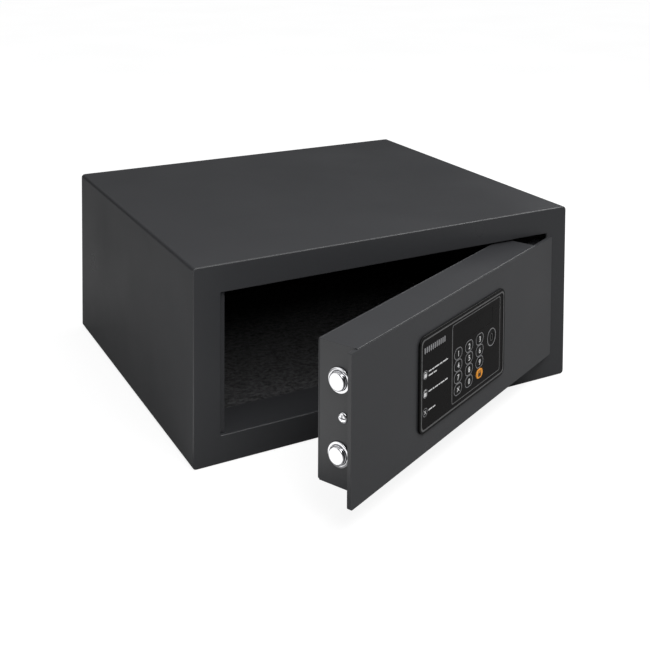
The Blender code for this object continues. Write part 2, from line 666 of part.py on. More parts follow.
def gear_outline(teeth):
    """Spur gear outline with involute flanks and one tooth pointing straight up."""
    pitch_radius = GEAR_MODULE * teeth / 2
    base = pitch_radius * math.cos(PRESSURE_ANGLE)
    tip = pitch_radius + 0.9 * GEAR_MODULE
    root = pitch_radius - 1.15 * GEAR_MODULE
    half_tooth = (math.pi * GEAR_MODULE - TOOTH_SLACK) / 4 / pitch_radius
    flank_at_pitch = math.tan(PRESSURE_ANGLE) - PRESSURE_ANGLE
    start = max(base, root)
    radii = [start + (tip - start) * index / 3 for index in range(4)]
    points = []
    for tooth in range(teeth):
        centre = math.pi / 2 + 2 * math.pi * tooth / teeth
        rising = []
        for radius in radii:
            roll = math.acos(min(1.0, base / radius))
            half = half_tooth + flank_at_pitch - (math.tan(roll) - roll)
            rising.append((radius, half))
        foot = (root, rising[0][1])
        for radius, half in [foot, *rising]:
            points.append((radius * math.cos(centre - half), radius * math.sin(centre - half)))
        for radius, half in [*reversed(rising), foot]:
            points.append((radius * math.cos(centre + half), radius * math.sin(centre + half)))
    return points


def build_drive(door, pinion):
    """Gear motor behind the plate, the pinion on its shaft, and the switch that senses the bolts."""
    level = RACK_PITCH_LEVEL - PINION_RADIUS
    near = WEB_DEPTH - GAP - RACK_THICKNESS
    case_near = depth(PLATE_THICKNESS + GAP)
    case_far = depth(near - 4 * GAP)
    low = (PINION_X - MOTOR_CASE["left"], case_near, level - MOTOR_CASE["below"])
    high = (PINION_X + MOTOR_CASE["right"], case_far, level + MOTOR_CASE["above"])
    motor = block("gear_motor", low, high, "black_plastic", pivot=door)
    round_edges(motor, 0.8, segments=1)
    can_length = 24.0
    can_level = level - MOTOR_CASE["below"] - can_length / 2 + 3.0
    can = rod("motor_can", (PINION_X, (case_near + case_far) / 2, can_level), (0, 0, 1), 7.8, can_length,
              None, pivot=door, sides=24)
    boolean(motor, can, "UNION")
    shaft_length = 10.0
    shaft_end = near + RACK_THICKNESS + 2.5
    shaft = rod("motor_shaft", (PINION_X, depth(shaft_end - shaft_length / 2), level), (0, 1, 0),
                MOTOR_SHAFT_RADIUS, shaft_length, None, pivot=door, sides=16)
    boolean(motor, shaft, "UNION")
    outline = [(PINION_X + x, level + y) for x, y in gear_outline(PINION_TEETH)]
    bore = circle((PINION_X, level), MOTOR_SHAFT_RADIUS + GAP, sides=16)
    sheet("drive_pinion", "XZ", outline, depth(near), depth(near + RACK_THICKNESS), "brass", pivot=pinion,
          holes=[bore], origin=(PINION_X, level))

    plunger_left = BOX_LEFT + CARRIAGE_OFFSET + CARRIAGE_SHEET + GAP
    case_left = plunger_left + 2.2
    case_depths = (PLATE_THICKNESS + GAP, 11.5)
    switch = block("bolt_switch", (case_left, depth(case_depths[0]), 91.0),
                   (case_left + 17.8, depth(case_depths[1]), 101.0), "black_plastic", pivot=door)
    plunger = block("switch_plunger", (plunger_left, depth(9.0), 95.0),
                    (case_left + 1.8, depth(11.0), 98.0), None, pivot=door)
    boolean(switch, plunger, "UNION")


# ---------------------------------------------------------------- keypad


def key_places():
    for row, names in enumerate(KEY_ROWS):
        for column, name in enumerate(names):
            centre = (KEY_FIRST[0] + column * KEY_PITCH[0], KEY_FIRST[1] - row * KEY_PITCH[1])
            yield name, centre


def grown(size, amount):
    return (size[0] + 2 * amount, size[1] + 2 * amount)


def build_keypad_housing(door):
    """Bezel that stands on the plate, in one piece with the tub that passes through it."""
    bezel_outer = rounded_rectangle(PANEL_CENTRE, PANEL_SIZE, PANEL_CORNER)
    bezel_inner = rounded_rectangle(PANEL_CENTRE, grown(OVERLAY_SIZE, GAP), 3.3, steps=3)
    housing = sheet("keypad_housing", "XZ", bezel_outer, depth(-PANEL_PROUD), depth(-GAP), "gloss_black",
                    pivot=door, holes=[bezel_inner])
    round_edges(housing, 0.6, segments=2, angle=60.0)
    tub_outer = rounded_rectangle(PANEL_CENTRE, TUB_SIZE, 3.0, steps=3)
    tub_inner = rounded_rectangle(PANEL_CENTRE, TUB_INSIDE, 2.0, steps=2)
    tub = sheet("keypad_tub", "XZ", tub_outer, depth(-2 * GAP), depth(TUB_DEPTH), None, pivot=door,
                holes=[tub_inner])
    boolean(housing, tub, "UNION")


def build_overlay(door):
    holes = [pill(centre, grown(KEY_SIZE, GAP)) for _, centre in key_places()]
    holes.append(rounded_rectangle(DISPLAY_CENTRE, grown(DISPLAY_SIZE, GAP), 1.3, steps=2))
    holes.append(circle(OVERRIDE_CENTRE, OVERRIDE_RADIUS + GAP, sides=28))
    outline = rounded_rectangle(PANEL_CENTRE, OVERLAY_SIZE, 3.0, steps=3)
    front = OVERLAY_SINK - PANEL_PROUD
    sheet("keypad_overlay", "XZ", outline, depth(front), depth(-0.9), "gloss_black", pivot=door,
          holes=holes)
    window = rounded_rectangle(DISPLAY_CENTRE, DISPLAY_SIZE, 1.0, steps=2)
    sheet("display_window", "XZ", window, depth(front + 0.1), depth(-0.6), "smoked_glass", pivot=door)


def build_keys(key_pivots):
    """Key caps: the part that shows, in one piece with the wider skirt that holds it in."""
    for name, centre in key_places():
        finish = "orange_plastic" if name == "lock" else "black_plastic"
        pivot = key_pivots[name]
        cap = sheet(f"key_{name}", "XZ", pill(centre, KEY_SIZE), depth(-PANEL_PROUD), depth(2.4), finish,
                    pivot=pivot, origin=centre)
        skirt = sheet(f"key_skirt_{name}", "XZ", pill(centre, grown(KEY_SIZE, SKIRT_WIDTH)), depth(-0.6),
                      depth(0.6), None, pivot=pivot, origin=centre)
        boolean(cap, skirt, "UNION")


def build_electronics(door):
    keys_centre = (KEY_FIRST[0] + KEY_PITCH[0], KEY_FIRST[1] - 1.5 * KEY_PITCH[1])
    domes = rounded_rectangle(keys_centre, (58.0, 44.0), 2.0, steps=2)
    sheet("dome_sheet", "XZ", domes, depth(3.6), depth(4.6), "white_plastic", pivot=door)
    board = rounded_rectangle(PANEL_CENTRE, (140.0, 68.0), 2.0, steps=2)
    lock_hole = circle(OVERRIDE_CENTRE, OVERRIDE_RADIUS + 2 * GAP, sides=28)
    sheet("circuit_board", "XZ", board, depth(5.0), depth(BOARD_BACK), "board_green", pivot=door,
          holes=[lock_hole])
    across, level = DISPLAY_CENTRE
    half_x = DISPLAY_SIZE[0] / 2 + 2.0
    half_z = DISPLAY_SIZE[1] / 2 + 2.0
    block("lcd_module", (across - half_x, depth(0.4), level - half_z),
          (across + half_x, depth(4.7), level + half_z), "black_plastic", pivot=door)


def build_override_lock(door, plug_pivot):
    """Emergency key lock: a fixed housing, the plug that turns in it, and the cam on its tail."""
    across, level = OVERRIDE_CENTRE
    origin = (across, depth(0), level)
    bore = PLUG_RADIUS + GAP
    front = PANEL_PROUD - 0.2
    chamfer = 0.4
    turned("override_housing",
           [(bore + chamfer, front), (OVERRIDE_RADIUS - chamfer, front), (OVERRIDE_RADIUS, front - chamfer),
            (OVERRIDE_RADIUS, -LOCK_LENGTH), (bore, -LOCK_LENGTH), (bore, front - chamfer)],
           origin, (0, -1, 0), "black_powder_coat", pivot=door, steps=32, ring=True)
    plug_front = front - GAP
    shoulder = LOCK_LENGTH + 0.5
    tail_end = LOCK_LENGTH + 4.0
    plug = turned("override_plug",
                  [(0, plug_front), (PLUG_RADIUS - GAP, plug_front), (PLUG_RADIUS, plug_front - GAP),
                   (PLUG_RADIUS, -shoulder), (TAIL_RADIUS, -shoulder), (TAIL_RADIUS, -tail_end),
                   (0, -tail_end)],
                  origin, (0, -1, 0), "black_powder_coat", pivot=plug_pivot, steps=32)
    half_width = KEYWAY_SIZE[0] / 2
    half_height = KEYWAY_SIZE[1] / 2
    keyway = block("keyway_cutter", (across - half_width, depth(-CUTTER_REACH), level - half_height),
                   (across + half_width, depth(10), level + half_height), None, pivot=plug_pivot)
    boolean(plug, keyway, "DIFFERENCE")
    finger_low = level - 17.0
    finger_half = 3.0
    finger = arc((across, level), 5.5, 20, 160, 8)
    finger += [(across - finger_half, finger_low), (across + finger_half, finger_low)]
    sheet("override_cam", "XZ", finger, depth(shoulder + GAP), depth(shoulder + 2.3), "zinc_steel",
          pivot=plug_pivot, holes=[circle((across, level), TAIL_RADIUS + GAP, sides=16)],
          origin=(across, level))


# ---------------------------------------------------------------- batteries and cable


def battery_opening():
    half_x = CELL_LENGTH / 2 + 1.6
    half_z = CELL_COUNT * CELL_PITCH / 2 + 0.6
    across, level = HOLDER_CENTRE
    return across - half_x, across + half_x, level - half_z, level + half_z


def build_batteries(door, lid):
    left, right, low, high = battery_opening()
    near = depth(HOLDER_DEPTH)
    far = depth(DOOR_DEPTH - COVER_SHEET - GAP)
    wall = HOLDER_WALL
    holder = block("battery_holder", (left - wall, near, low - wall), (right + wall, far, high + wall),
                   "black_plastic", pivot=door)
    inside = block("holder_inside_cutter", (left, near + wall, low), (right, far + CUTTER_REACH, high),
                   None, pivot=door)
    boolean(holder, inside, "DIFFERENCE")
    across, level = HOLDER_CENTRE
    for index in range(CELL_COUNT):
        cell_level = level + (index - (CELL_COUNT - 1) / 2) * CELL_PITCH
        way = 1 if index % 2 else -1
        nub = CELL_LENGTH / 2
        can = nub - 1.3
        nub_radius = 2.7
        edge = 0.6
        rim = CELL_RADIUS - edge
        turned(f"battery_cell_{index + 1}",
               [(0, nub), (nub_radius - GAP, nub), (nub_radius, nub - GAP), (nub_radius, can), (rim, can),
                (CELL_RADIUS, can - edge), (CELL_RADIUS, -nub + edge), (rim, -nub), (0, -nub)],
               (across, near + wall + GAP + CELL_RADIUS, cell_level), (way, 0, 0), "cell_jacket",
               pivot=door, steps=24)
    lid_near = DOOR_DEPTH + GAP
    lid_far = lid_near + BATTERY_COVER_SHEET
    half_x = BATTERY_COVER_SIZE[0] / 2
    half_z = BATTERY_COVER_SIZE[1] / 2
    cover = block("battery_cover", (across - half_x, depth(lid_near), level - half_z),
                  (across + half_x, depth(lid_far), level + half_z), "black_plastic", pivot=lid)
    rib_pitch = 6.0
    rib_half = 0.8
    rib_reach = 12.0
    for index in range(-2, 3):
        rib_x = across + index * rib_pitch
        rib = block(f"lid_rib_{index + 3}", (rib_x - rib_half, depth(lid_far - 0.5), level - rib_reach),
                    (rib_x + rib_half, depth(lid_far + 0.8), level + rib_reach), None, pivot=lid)
        boolean(cover, rib, "UNION")


def build_motor_cable(door):
    """Cable from the circuit board over the tub's wall to the motor's case."""
    tub_left = PANEL_CENTRE[0] - TUB_SIZE[0] / 2
    motor_right = PINION_X + MOTOR_CASE["right"]
    run = TUB_DEPTH + 3.5
    path = [(tub_left + 16, depth(BOARD_BACK + GAP)), (tub_left + 15.5, depth(10)),
            (tub_left + 12, depth(run - 1.5)), (tub_left + 6, depth(run)), (motor_right + GAP, depth(run))]
    curve = bpy.data.curves.new("motor_cable", "CURVE")
    curve.dimensions = "3D"
    curve.bevel_depth = CABLE_RADIUS * MM
    curve.bevel_resolution = 2
    curve.use_fill_caps = True
    spline = curve.splines.new("POLY")
    spline.points.add(len(path) - 1)
    for point, (across, back) in zip(spline.points, path):
        point.co = (across * MM, back * MM, CABLE_LEVEL * MM, 1.0)
    cable = bpy.data.objects.new("motor_cable", curve)
    place(cable, "black_plastic", door)


# ---------------------------------------------------------------- assembly

door_pivot = add_pivot("door_pivot", (PIN_X, PIN_Y, 0), DOOR_REST_ANGLE)


def door_child(name, location):
    """Pivot that rides on the door, at a place given with the door shut."""
    pivot = add_pivot(name, location)
    pivot.parent = door_pivot
    pivot.matrix_parent_inverse = Matrix.Translation(-door_pivot.location)
    return pivot


bolt_middle = (BOLT_LEVELS["upper"] + BOLT_LEVELS["lower"]) / 2
rack_middle = WEB_DEPTH - GAP - RACK_THICKNESS / 2
carriage_slide = door_child("carriage_slide", (BOX_LEFT, depth(BOLT_DEPTH), bolt_middle))
pinion_pivot = door_child("pinion_pivot", (PINION_X, depth(rack_middle), RACK_PITCH_LEVEL - PINION_RADIUS))
plug_pivot = door_child("plug_pivot", (OVERRIDE_CENTRE[0], depth(0), OVERRIDE_CENTRE[1]))
lid_slide = door_child("lid_slide", (HOLDER_CENTRE[0], depth(DOOR_DEPTH), HOLDER_CENTRE[1]))
key_slides = {name: door_child(f"key_slide_{name}", (centre[0], depth(0), centre[1]))
              for name, centre in key_places()}

build_body_shell()
build_back_panel()
build_channel("sill_channel", OPEN_LOW, SHEET + GAP, -1)
build_channel("head_channel", OPEN_HIGH, BODY_HEIGHT - SHEET - GAP, 1)
build_strike_channel()
build_carpet()
for arm_name, arm_level in ARM_LEVELS.items():
    build_hinge(arm_name, arm_level, door_pivot)
build_door_plate(door_pivot)
build_door_box(door_pivot)
build_rear_cover(door_pivot)
for number, (screw_x, screw_z) in enumerate(cover_screw_places(), start=1):
    build_cross_screw(f"rear_cover_screw_{number}", (screw_x, depth(DOOR_DEPTH + GAP), screw_z), (0, 1, 0),
                      head_radius=3.2, head_height=1.6, shank_radius=1.5, length=6.0, door=door_pivot)
build_cross_screw("edge_screw", (BOX_LEFT - GAP, depth(EDGE_SCREW_PLACE[0]), EDGE_SCREW_PLACE[1]),
                  (-1, 0, 0), head_radius=4.7, head_height=1.7, shank_radius=2.1, length=8.0,
                  door=door_pivot)
build_bolts(door_pivot, carriage_slide)
build_rack(carriage_slide)
build_drive(door_pivot, pinion_pivot)
build_keypad_housing(door_pivot)
build_overlay(door_pivot)
build_keys(key_slides)
build_electronics(door_pivot)
build_override_lock(door_pivot, plug_pivot)
build_batteries(door_pivot, lid_slide)
build_motor_cable(door_pivot)
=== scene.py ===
"""Looks of the in-room safe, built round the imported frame.

Lengths are millimetres until a mesh is made. The door's pieces are built as if the door were shut, and
then turned to the frame's rest angle about its hinge.
"""

import json
import math
import random

import bmesh
import bpy
from mathutils import Matrix, Vector

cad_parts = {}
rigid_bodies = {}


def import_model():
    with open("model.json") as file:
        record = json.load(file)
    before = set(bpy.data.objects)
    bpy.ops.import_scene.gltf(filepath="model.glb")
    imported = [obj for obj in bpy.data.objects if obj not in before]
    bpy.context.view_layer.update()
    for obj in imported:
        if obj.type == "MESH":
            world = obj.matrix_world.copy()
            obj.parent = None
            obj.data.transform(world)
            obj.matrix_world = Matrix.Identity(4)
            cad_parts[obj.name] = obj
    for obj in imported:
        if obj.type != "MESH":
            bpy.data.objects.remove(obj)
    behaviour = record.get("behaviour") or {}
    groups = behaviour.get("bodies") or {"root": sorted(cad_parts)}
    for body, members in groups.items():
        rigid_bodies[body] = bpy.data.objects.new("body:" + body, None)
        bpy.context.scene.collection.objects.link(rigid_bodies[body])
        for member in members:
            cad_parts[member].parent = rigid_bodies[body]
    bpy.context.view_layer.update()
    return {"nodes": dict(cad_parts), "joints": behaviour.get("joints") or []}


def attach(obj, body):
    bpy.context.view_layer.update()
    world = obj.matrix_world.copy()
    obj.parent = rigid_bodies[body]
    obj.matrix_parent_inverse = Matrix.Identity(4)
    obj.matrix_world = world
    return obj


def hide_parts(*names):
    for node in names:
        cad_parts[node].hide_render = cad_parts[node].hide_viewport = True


for leftover in list(bpy.data.objects):
    bpy.data.objects.remove(leftover, do_unlink=True)

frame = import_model()

MM = 0.001
FRONT_TO_BACK = (0, 1, 0)
BACK_TO_FRONT = (0, -1, 0)
TO_FREE_EDGE = (-1, 0, 0)
random.seed(7)

# ---- the shut door's place

HINGE = next(joint for joint in frame["joints"] if joint["name"] == "door_hinge")
HINGE_POINT = Vector(HINGE["pos_m"])
OPEN_ANGLE = math.radians(-HINGE["range_deg"][0])
DOOR_REST = (Matrix.Translation(HINGE_POINT) @ Matrix.Rotation(OPEN_ANGLE, 4, "Z")
             @ Matrix.Translation(-HINGE_POINT))
DOOR_SHUT = DOOR_REST.inverted()
STILL = Matrix.Identity(4)


def node_box(node, back_to_shut=STILL):
    """Lowest and highest corner of a CAD node in millimetres."""
    points = [back_to_shut @ vertex.co for vertex in frame["nodes"][node].data.vertices]
    low = Vector([min(point[axis] for point in points) for axis in range(3)]) / MM
    high = Vector([max(point[axis] for point in points) for axis in range(3)]) / MM
    return low, high


def shut_box(node):
    """The box of one of the door's pieces, with the door shut."""
    return node_box(node, DOOR_SHUT)


def front_place(node, shrink=0.0):
    """Centre and size of one of the door's pieces seen from the front, made smaller on every side."""
    low, high = shut_box(node)
    return (((low.x + high.x) / 2, (low.z + high.z) / 2),
            (high.x - low.x - 2 * shrink, high.z - low.z - 2 * shrink))


def grown(size, amount):
    """A front size made larger by an amount on every side."""
    return size[0] + 2 * amount, size[1] + 2 * amount


# ---- node-based materials


class Shading:
    """One material, with helpers that add and join its nodes."""

    def __init__(self, name, **settings):
        self.material = bpy.data.materials.new(name)
        self.material.use_nodes = True
        self.tree = self.material.node_tree
        self.shader = self.tree.nodes["Principled BSDF"]
        for key, value in settings.items():
            self.shader.inputs[key.replace("_", " ")].default_value = value
        self.place = self.add("ShaderNodeTexCoord").outputs["Object"]
        self.last_bump = None

    def add(self, kind, inputs=None, **settings):
        node = self.tree.nodes.new(kind)
        for key, value in settings.items():
            setattr(node, key, value)
        for key, value in (inputs or {}).items():
            node.inputs[key].default_value = value
        return node

    def join(self, source, target):
        self.tree.links.new(source, target)

    def drive(self, target, source):
        """Let an output set one of the shader's inputs."""
        self.join(source, self.shader.inputs[target])

    def noise(self, scale, detail=2, roughness=0.5, stretch=None):
        node = self.add("ShaderNodeTexNoise", {"Scale": scale, "Detail": detail, "Roughness": roughness})
        place = self.place
        if stretch:
            mapping = self.add("ShaderNodeMapping", {"Scale": stretch})
            self.join(place, mapping.inputs["Vector"])
            place = mapping.outputs["Vector"]
        self.join(place, node.inputs["Vector"])
        return node.outputs["Fac"]

    def cells(self, scale):
        node = self.add("ShaderNodeTexVoronoi", {"Scale": scale})
        self.join(self.place, node.inputs["Vector"])
        return node.outputs["Distance"]

    def multiplied(self, first, second):
        node = self.add("ShaderNodeMath", operation="MULTIPLY")
        self.join(first, node.inputs[0])
        if isinstance(second, float):
            node.inputs[1].default_value = second
        else:
            self.join(second, node.inputs[1])
        return node.outputs[0]

    def scaled(self, source, low, high, from_low=0.3, from_high=0.7):
        ends = {"From Min": from_low, "From Max": from_high, "To Min": low, "To Max": high}
        node = self.add("ShaderNodeMapRange", ends)
        self.join(source, node.inputs["Value"])
        return node.outputs["Result"]

    def mottle(self, pattern, colour, dark, light, from_low=0.3, from_high=0.7):
        """Let the colour run from a darker to a lighter shade with a pattern."""
        share = self.scaled(pattern, 0, 1, from_low, from_high)
        node = self.add("ShaderNodeMix", data_type="RGBA")
        for key, amount in (("A", dark), ("B", light)):
            node.inputs[key].default_value = (*(channel * amount for channel in colour), 1.0)
        self.join(share, node.inputs["Factor"])
        self.drive("Base Color", node.outputs["Result"])

    def vary_gloss(self, pattern, low, high):
        """Let the roughness run from low to high with a pattern."""
        self.drive("Roughness", self.scaled(pattern, low, high))

    def bump(self, height, strength, distance):
        """A bump on top of the ones before it."""
        node = self.add("ShaderNodeBump", {"Strength": strength, "Distance": distance})
        self.join(height, node.inputs["Height"])
        if self.last_bump:
            self.join(self.last_bump, node.inputs["Normal"])
        self.last_bump = node.outputs["Normal"]
        self.drive("Normal", self.last_bump)


def powder_coat(name, colour, roughness):
    """Baked powder paint: an orange-peel skin, a fine grain and slow changes in gloss."""
    look = Shading(name)
    grain = look.noise(2600, detail=3)
    look.mottle(grain, colour, 0.86, 1.14)
    look.vary_gloss(look.noise(9, detail=3), roughness - 0.05, roughness + 0.05)
    look.bump(look.noise(620), strength=0.16, distance=0.0004)
    look.bump(grain, strength=0.10, distance=0.0002)
    return look.material


def polished_metal(name, colour, roughness):
    """Plated steel with faint polishing marks."""
    look = Shading(name, Metallic=1.0)
    marks = look.noise(900, detail=4, stretch=(1.0, 1.0, 9.0))
    look.mottle(marks, colour, 0.94, 1.0)
    look.vary_gloss(marks, roughness, roughness + 0.06)
    look.bump(marks, strength=0.03, distance=0.0001)
    return look.material


def zinc_plate(name, colour):
    """Bright plate on rolled metal: drawn grain and cloudy passivation."""
    look = Shading(name, Metallic=1.0)
    look.mottle(look.noise(70, detail=4), colour, 0.8, 1.1)
    grain = look.noise(600, detail=3, stretch=(0.15, 1.0, 6.0))
    look.vary_gloss(grain, 0.26, 0.44)
    look.bump(grain, strength=0.08, distance=0.0002)
    return look.material


def turned_face(name, colour):
    """Chrome with the rings a lathe leaves on an end face, about the piece's own Z axis."""
    look = Shading(name, Metallic=1.0)
    rings = look.add("ShaderNodeTexWave", {"Scale": 420, "Distortion": 0.6}, wave_type="RINGS",
                     rings_direction="Z")
    look.join(look.place, rings.inputs["Vector"])
    smudge = look.noise(160, detail=3)
    look.mottle(smudge, colour, 0.9, 1.0)
    look.vary_gloss(smudge, 0.07, 0.16)
    look.bump(rings.outputs["Fac"], strength=0.05, distance=0.0001)
    return look.material


def gloss_plastic(name, colour, roughness, specular=0.5):
    """Hard-coated panel: smooth, with a trace of fine dust and handling marks."""
    look = Shading(name, Specular_IOR_Level=specular)
    look.mottle(look.noise(1500), colour, 1.0, 1.7, 0.55, 0.8)
    look.vary_gloss(look.noise(45, detail=4), roughness - 0.04, roughness + 0.08)
    look.bump(look.noise(300), strength=0.02, distance=0.0002)
    return look.material


def moulded_plastic(name, colour, roughness=0.5, specular=0.5):
    """Spark-eroded mould texture."""
    look = Shading(name, Specular_IOR_Level=specular)
    pits = look.cells(2200)
    look.mottle(pits, colour, 0.85, 1.1, 0.0, 0.6)
    look.vary_gloss(look.noise(60), roughness - 0.06, roughness + 0.06)
    look.bump(pits, strength=0.18, distance=0.0002)
    return look.material


def printed_ink(name, colour):
    """Screen print: nearly flat, with slightly uneven cover."""
    look = Shading(name, Roughness=0.45)
    cover = look.noise(2400)
    look.mottle(cover, colour, 0.88, 1.0)
    look.bump(cover, strength=0.06, distance=0.0001)
    return look.material


def carpet_felt(name, colour):
    """Needle felt: matted fibres, lighter where their tips catch the light."""
    look = Shading(name, Roughness=0.95, Sheen_Weight=0.25, Sheen_Roughness=0.4)
    fibres = look.noise(1500, detail=5, roughness=0.7)
    clumps = look.noise(260, detail=3)
    look.mottle(look.multiplied(fibres, clumps), colour, 0.2, 2.8, 0.18, 0.34)
    look.bump(fibres, strength=0.6, distance=0.0006)
    look.bump(clumps, strength=0.5, distance=0.001)
    return look.material


def laminate(name, colour):
    """Glass-cloth board: a faint weave under the lacquer."""
    look = Shading(name, Roughness=0.4)
    weave = look.cells(900)
    look.mottle(weave, colour, 0.8, 1.2, 0.0, 0.7)
    look.bump(weave, strength=0.05, distance=0.0001)
    return look.material


def studio_floor(name):
    """Pale paper sweep. To the camera it glows a little, so it reads as white with a soft shadow."""
    look = Shading(name, Roughness=0.85, Specular_IOR_Level=0.0, Emission_Color=(1.0, 1.0, 1.0, 1.0))
    look.mottle(look.noise(3), (1.0, 1.0, 1.0), 0.26, 0.30)
    path = look.add("ShaderNodeLightPath")
    look.drive("Emission Strength", look.multiplied(path.outputs["Is Camera Ray"], 0.86))
    return look.material


# Name, base colour, then the roughness where the finish asks for one.
ANTHRACITE = powder_coat("anthracite_coat", (0.041, 0.042, 0.045), 0.32)
# Painted shade: a near-black coat standing in for the shade inside the body, under the top of the opening
# and in the screws' cross recesses.
SHADE_BLACK = powder_coat("painted_shade_black", (0.008, 0.008, 0.009), 0.6)
CHROME = polished_metal("chrome_plate", (0.88, 0.88, 0.9), 0.05)
CHROME_FACE = turned_face("chrome_turned_face", (0.9, 0.9, 0.92))
ZINC = zinc_plate("zinc_plate", (0.56, 0.56, 0.57))
BRASS = zinc_plate("brass_gear", (0.62, 0.43, 0.15))
PANEL_BLACK = gloss_plastic("panel_black", (0.006, 0.0055, 0.0055), 0.22, specular=0.08)
BEZEL_BLACK = gloss_plastic("bezel_black", (0.006, 0.006, 0.006), 0.25, specular=0.1)
KEY_BLACK = moulded_plastic("key_black", (0.008, 0.008, 0.008), 0.36, specular=0.12)
KEY_ORANGE = moulded_plastic("key_orange", (0.95, 0.36, 0.02), 0.34)
LOCK_BLACK = moulded_plastic("lock_black", (0.008, 0.008, 0.008), 0.36, specular=0.12)
BLACK_PLASTIC = moulded_plastic("black_plastic_moulded", (0.02, 0.02, 0.021))
SILICONE = moulded_plastic("silicone_white", (0.6, 0.6, 0.57), 0.6)
WHITE_INK = printed_ink("white_ink", (0.95, 0.95, 0.95))
LINE_INK = printed_ink("line_ink", (0.34, 0.34, 0.35))
GREY_INK = printed_ink("grey_ink", (0.14, 0.14, 0.14))
DARK_INK = printed_ink("dark_ink", (0.03, 0.015, 0.005))
FELT = carpet_felt("carpet_felt", (0.033, 0.033, 0.035))
BOARD = laminate("board_laminate", (0.02, 0.12, 0.05))
JACKET = gloss_plastic("cell_jacket_green", (0.03, 0.16, 0.08), 0.3)

# ---- mesh tools

SHARP_ANGLE = 35.0
MERGE_DISTANCE = 0.0000005
AXIS_GAP = 0.01
PRINT_SUNK = 0.02
PRINT_PROUD = 0.03
OVERPRINT_PROUD = 0.035


def outline_arc(centre, radius, start, end, steps):
    turns = [math.radians(start + (end - start) * index / steps) for index in range(steps + 1)]
    return [(centre[0] + radius * math.cos(turn), centre[1] + radius * math.sin(turn)) for turn in turns]


def rounded_outline(centre, size, radius, steps=8, low_radius=None):
    """Rounded rectangle, counterclockwise. Its two lower corners may have a radius of their own."""
    points = []
    for side_x, side_z, turn in ((1, 1, 0), (-1, 1, 90), (-1, -1, 180), (1, -1, 270)):
        bend = radius if side_z > 0 or low_radius is None else low_radius
        corner = (centre[0] + side_x * (size[0] / 2 - bend), centre[1] + side_z * (size[1] / 2 - bend))
        points += outline_arc(corner, bend, turn, turn + 90, steps)
    return points


def pill_outline(centre, size, steps=20):
    """Rectangle with half-round ends, counterclockwise."""
    radius = size[1] / 2
    reach = size[0] / 2 - radius
    return (outline_arc((centre[0] + reach, centre[1]), radius, -90, 90, steps)
            + outline_arc((centre[0] - reach, centre[1]), radius, 90, 270, steps))


def circle_outline(centre, radius, sides):
    return outline_arc(centre, radius, 0, 360 * (1 - 1 / sides), sides - 1)


def turned_upright(outline, centre):
    """A wide outline turned to stand upright about its centre."""
    return [(centre[0] + (z - centre[1]), centre[1] + (x - centre[0])) for x, z in reversed(outline)]


def front_loop(outline, y):
    """An outline seen from the front, at one depth."""
    return [Vector((x, y, z)) for x, z in outline]


def rounded_loops(section, centre, size, corner, steps, least_corner=0.0):
    """Loops of a rounded rectangle along a section that lists (growth, depth)."""
    loops = []
    for grow, y in section:
        radius = max(corner + grow, least_corner)
        loops.append(front_loop(rounded_outline(centre, grown(size, grow), radius, steps), y))
    return loops


def mesh_from_loops(name, loops, ring=False):
    """Skin over loops of equal length. The first and last are joined, or capped."""
    shape = bmesh.new()
    rows = [[shape.verts.new(point * MM) for point in loop] for loop in loops]
    pairs = list(zip(rows, rows[1:]))
    if ring:
        pairs.append((rows[-1], rows[0]))
    for first, second in pairs:
        for index in range(len(first)):
            after = (index + 1) % len(first)
            shape.faces.new((first[index], first[after], second[after], second[index]))
    if not ring:
        shape.faces.new(rows[0])
        shape.faces.new(list(reversed(rows[-1])))
    return mesh_from_shape(name, shape)


def smooth_shaded(mesh, angle=SHARP_ANGLE):
    """The mesh, shaded smooth between its hard edges."""
    mesh.shade_smooth()
    mesh.set_sharp_from_angle(angle=math.radians(angle))
    return mesh


def mesh_from_shape(name, shape, angle=SHARP_ANGLE):
    bmesh.ops.recalc_face_normals(shape, faces=shape.faces)
    mesh = bpy.data.meshes.new(name)
    shape.to_mesh(mesh)
    shape.free()
    return smooth_shaded(mesh, angle)


def new_object(name, data):
    item = bpy.data.objects.new(name, data)
    bpy.context.scene.collection.objects.link(item)
    return item


def add_piece(name, mesh, material, body, place=STILL, on_door=True, node=None):
    """Put a mesh in the scene at its rest place, riding on its body, in place of a CAD node."""
    piece = new_object(name, mesh)
    if not mesh.materials:
        mesh.materials.append(material)
    piece.matrix_world = (DOOR_REST if on_door else STILL) @ place
    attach(piece, body)
    if node:
        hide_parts(node)


def temporary(data):
    return new_object("temporary", data)


def evaluated_mesh(piece, name):
    """The mesh a temporary object has after its modifiers. The object is removed."""
    bpy.context.view_layer.update()
    graph = bpy.context.evaluated_depsgraph_get()
    mesh = bpy.data.meshes.new_from_object(piece.evaluated_get(graph))
    mesh.name = name
    bpy.data.objects.remove(piece, do_unlink=True)
    return mesh


def combined(base, others, operation="DIFFERENCE"):
    """Boolean of one mesh with several others."""
    piece = temporary(base)
    tools = [temporary(mesh) for mesh in others]
    for tool in tools:
        modifier = piece.modifiers.new("boolean", "BOOLEAN")
        modifier.operation = operation
        modifier.solver = "EXACT"
        modifier.object = tool
    mesh = smooth_shaded(evaluated_mesh(piece, base.name))
    for tool in tools:
        bpy.data.objects.remove(tool, do_unlink=True)
    piece = temporary(mesh)
    weigh_normals(piece)
    return evaluated_mesh(piece, mesh.name)


def weigh_normals(piece):
    """Weight a piece's normals by face area, so that flat faces shade flat."""
    piece.modifiers.new("even_normals", "WEIGHTED_NORMAL").keep_sharp = True


def softened(mesh, radius, segments, angle):
    """A mesh with its hard edges rounded."""
    piece = temporary(mesh)
    add_softening(piece, radius, segments, angle)
    return evaluated_mesh(piece, mesh.name)


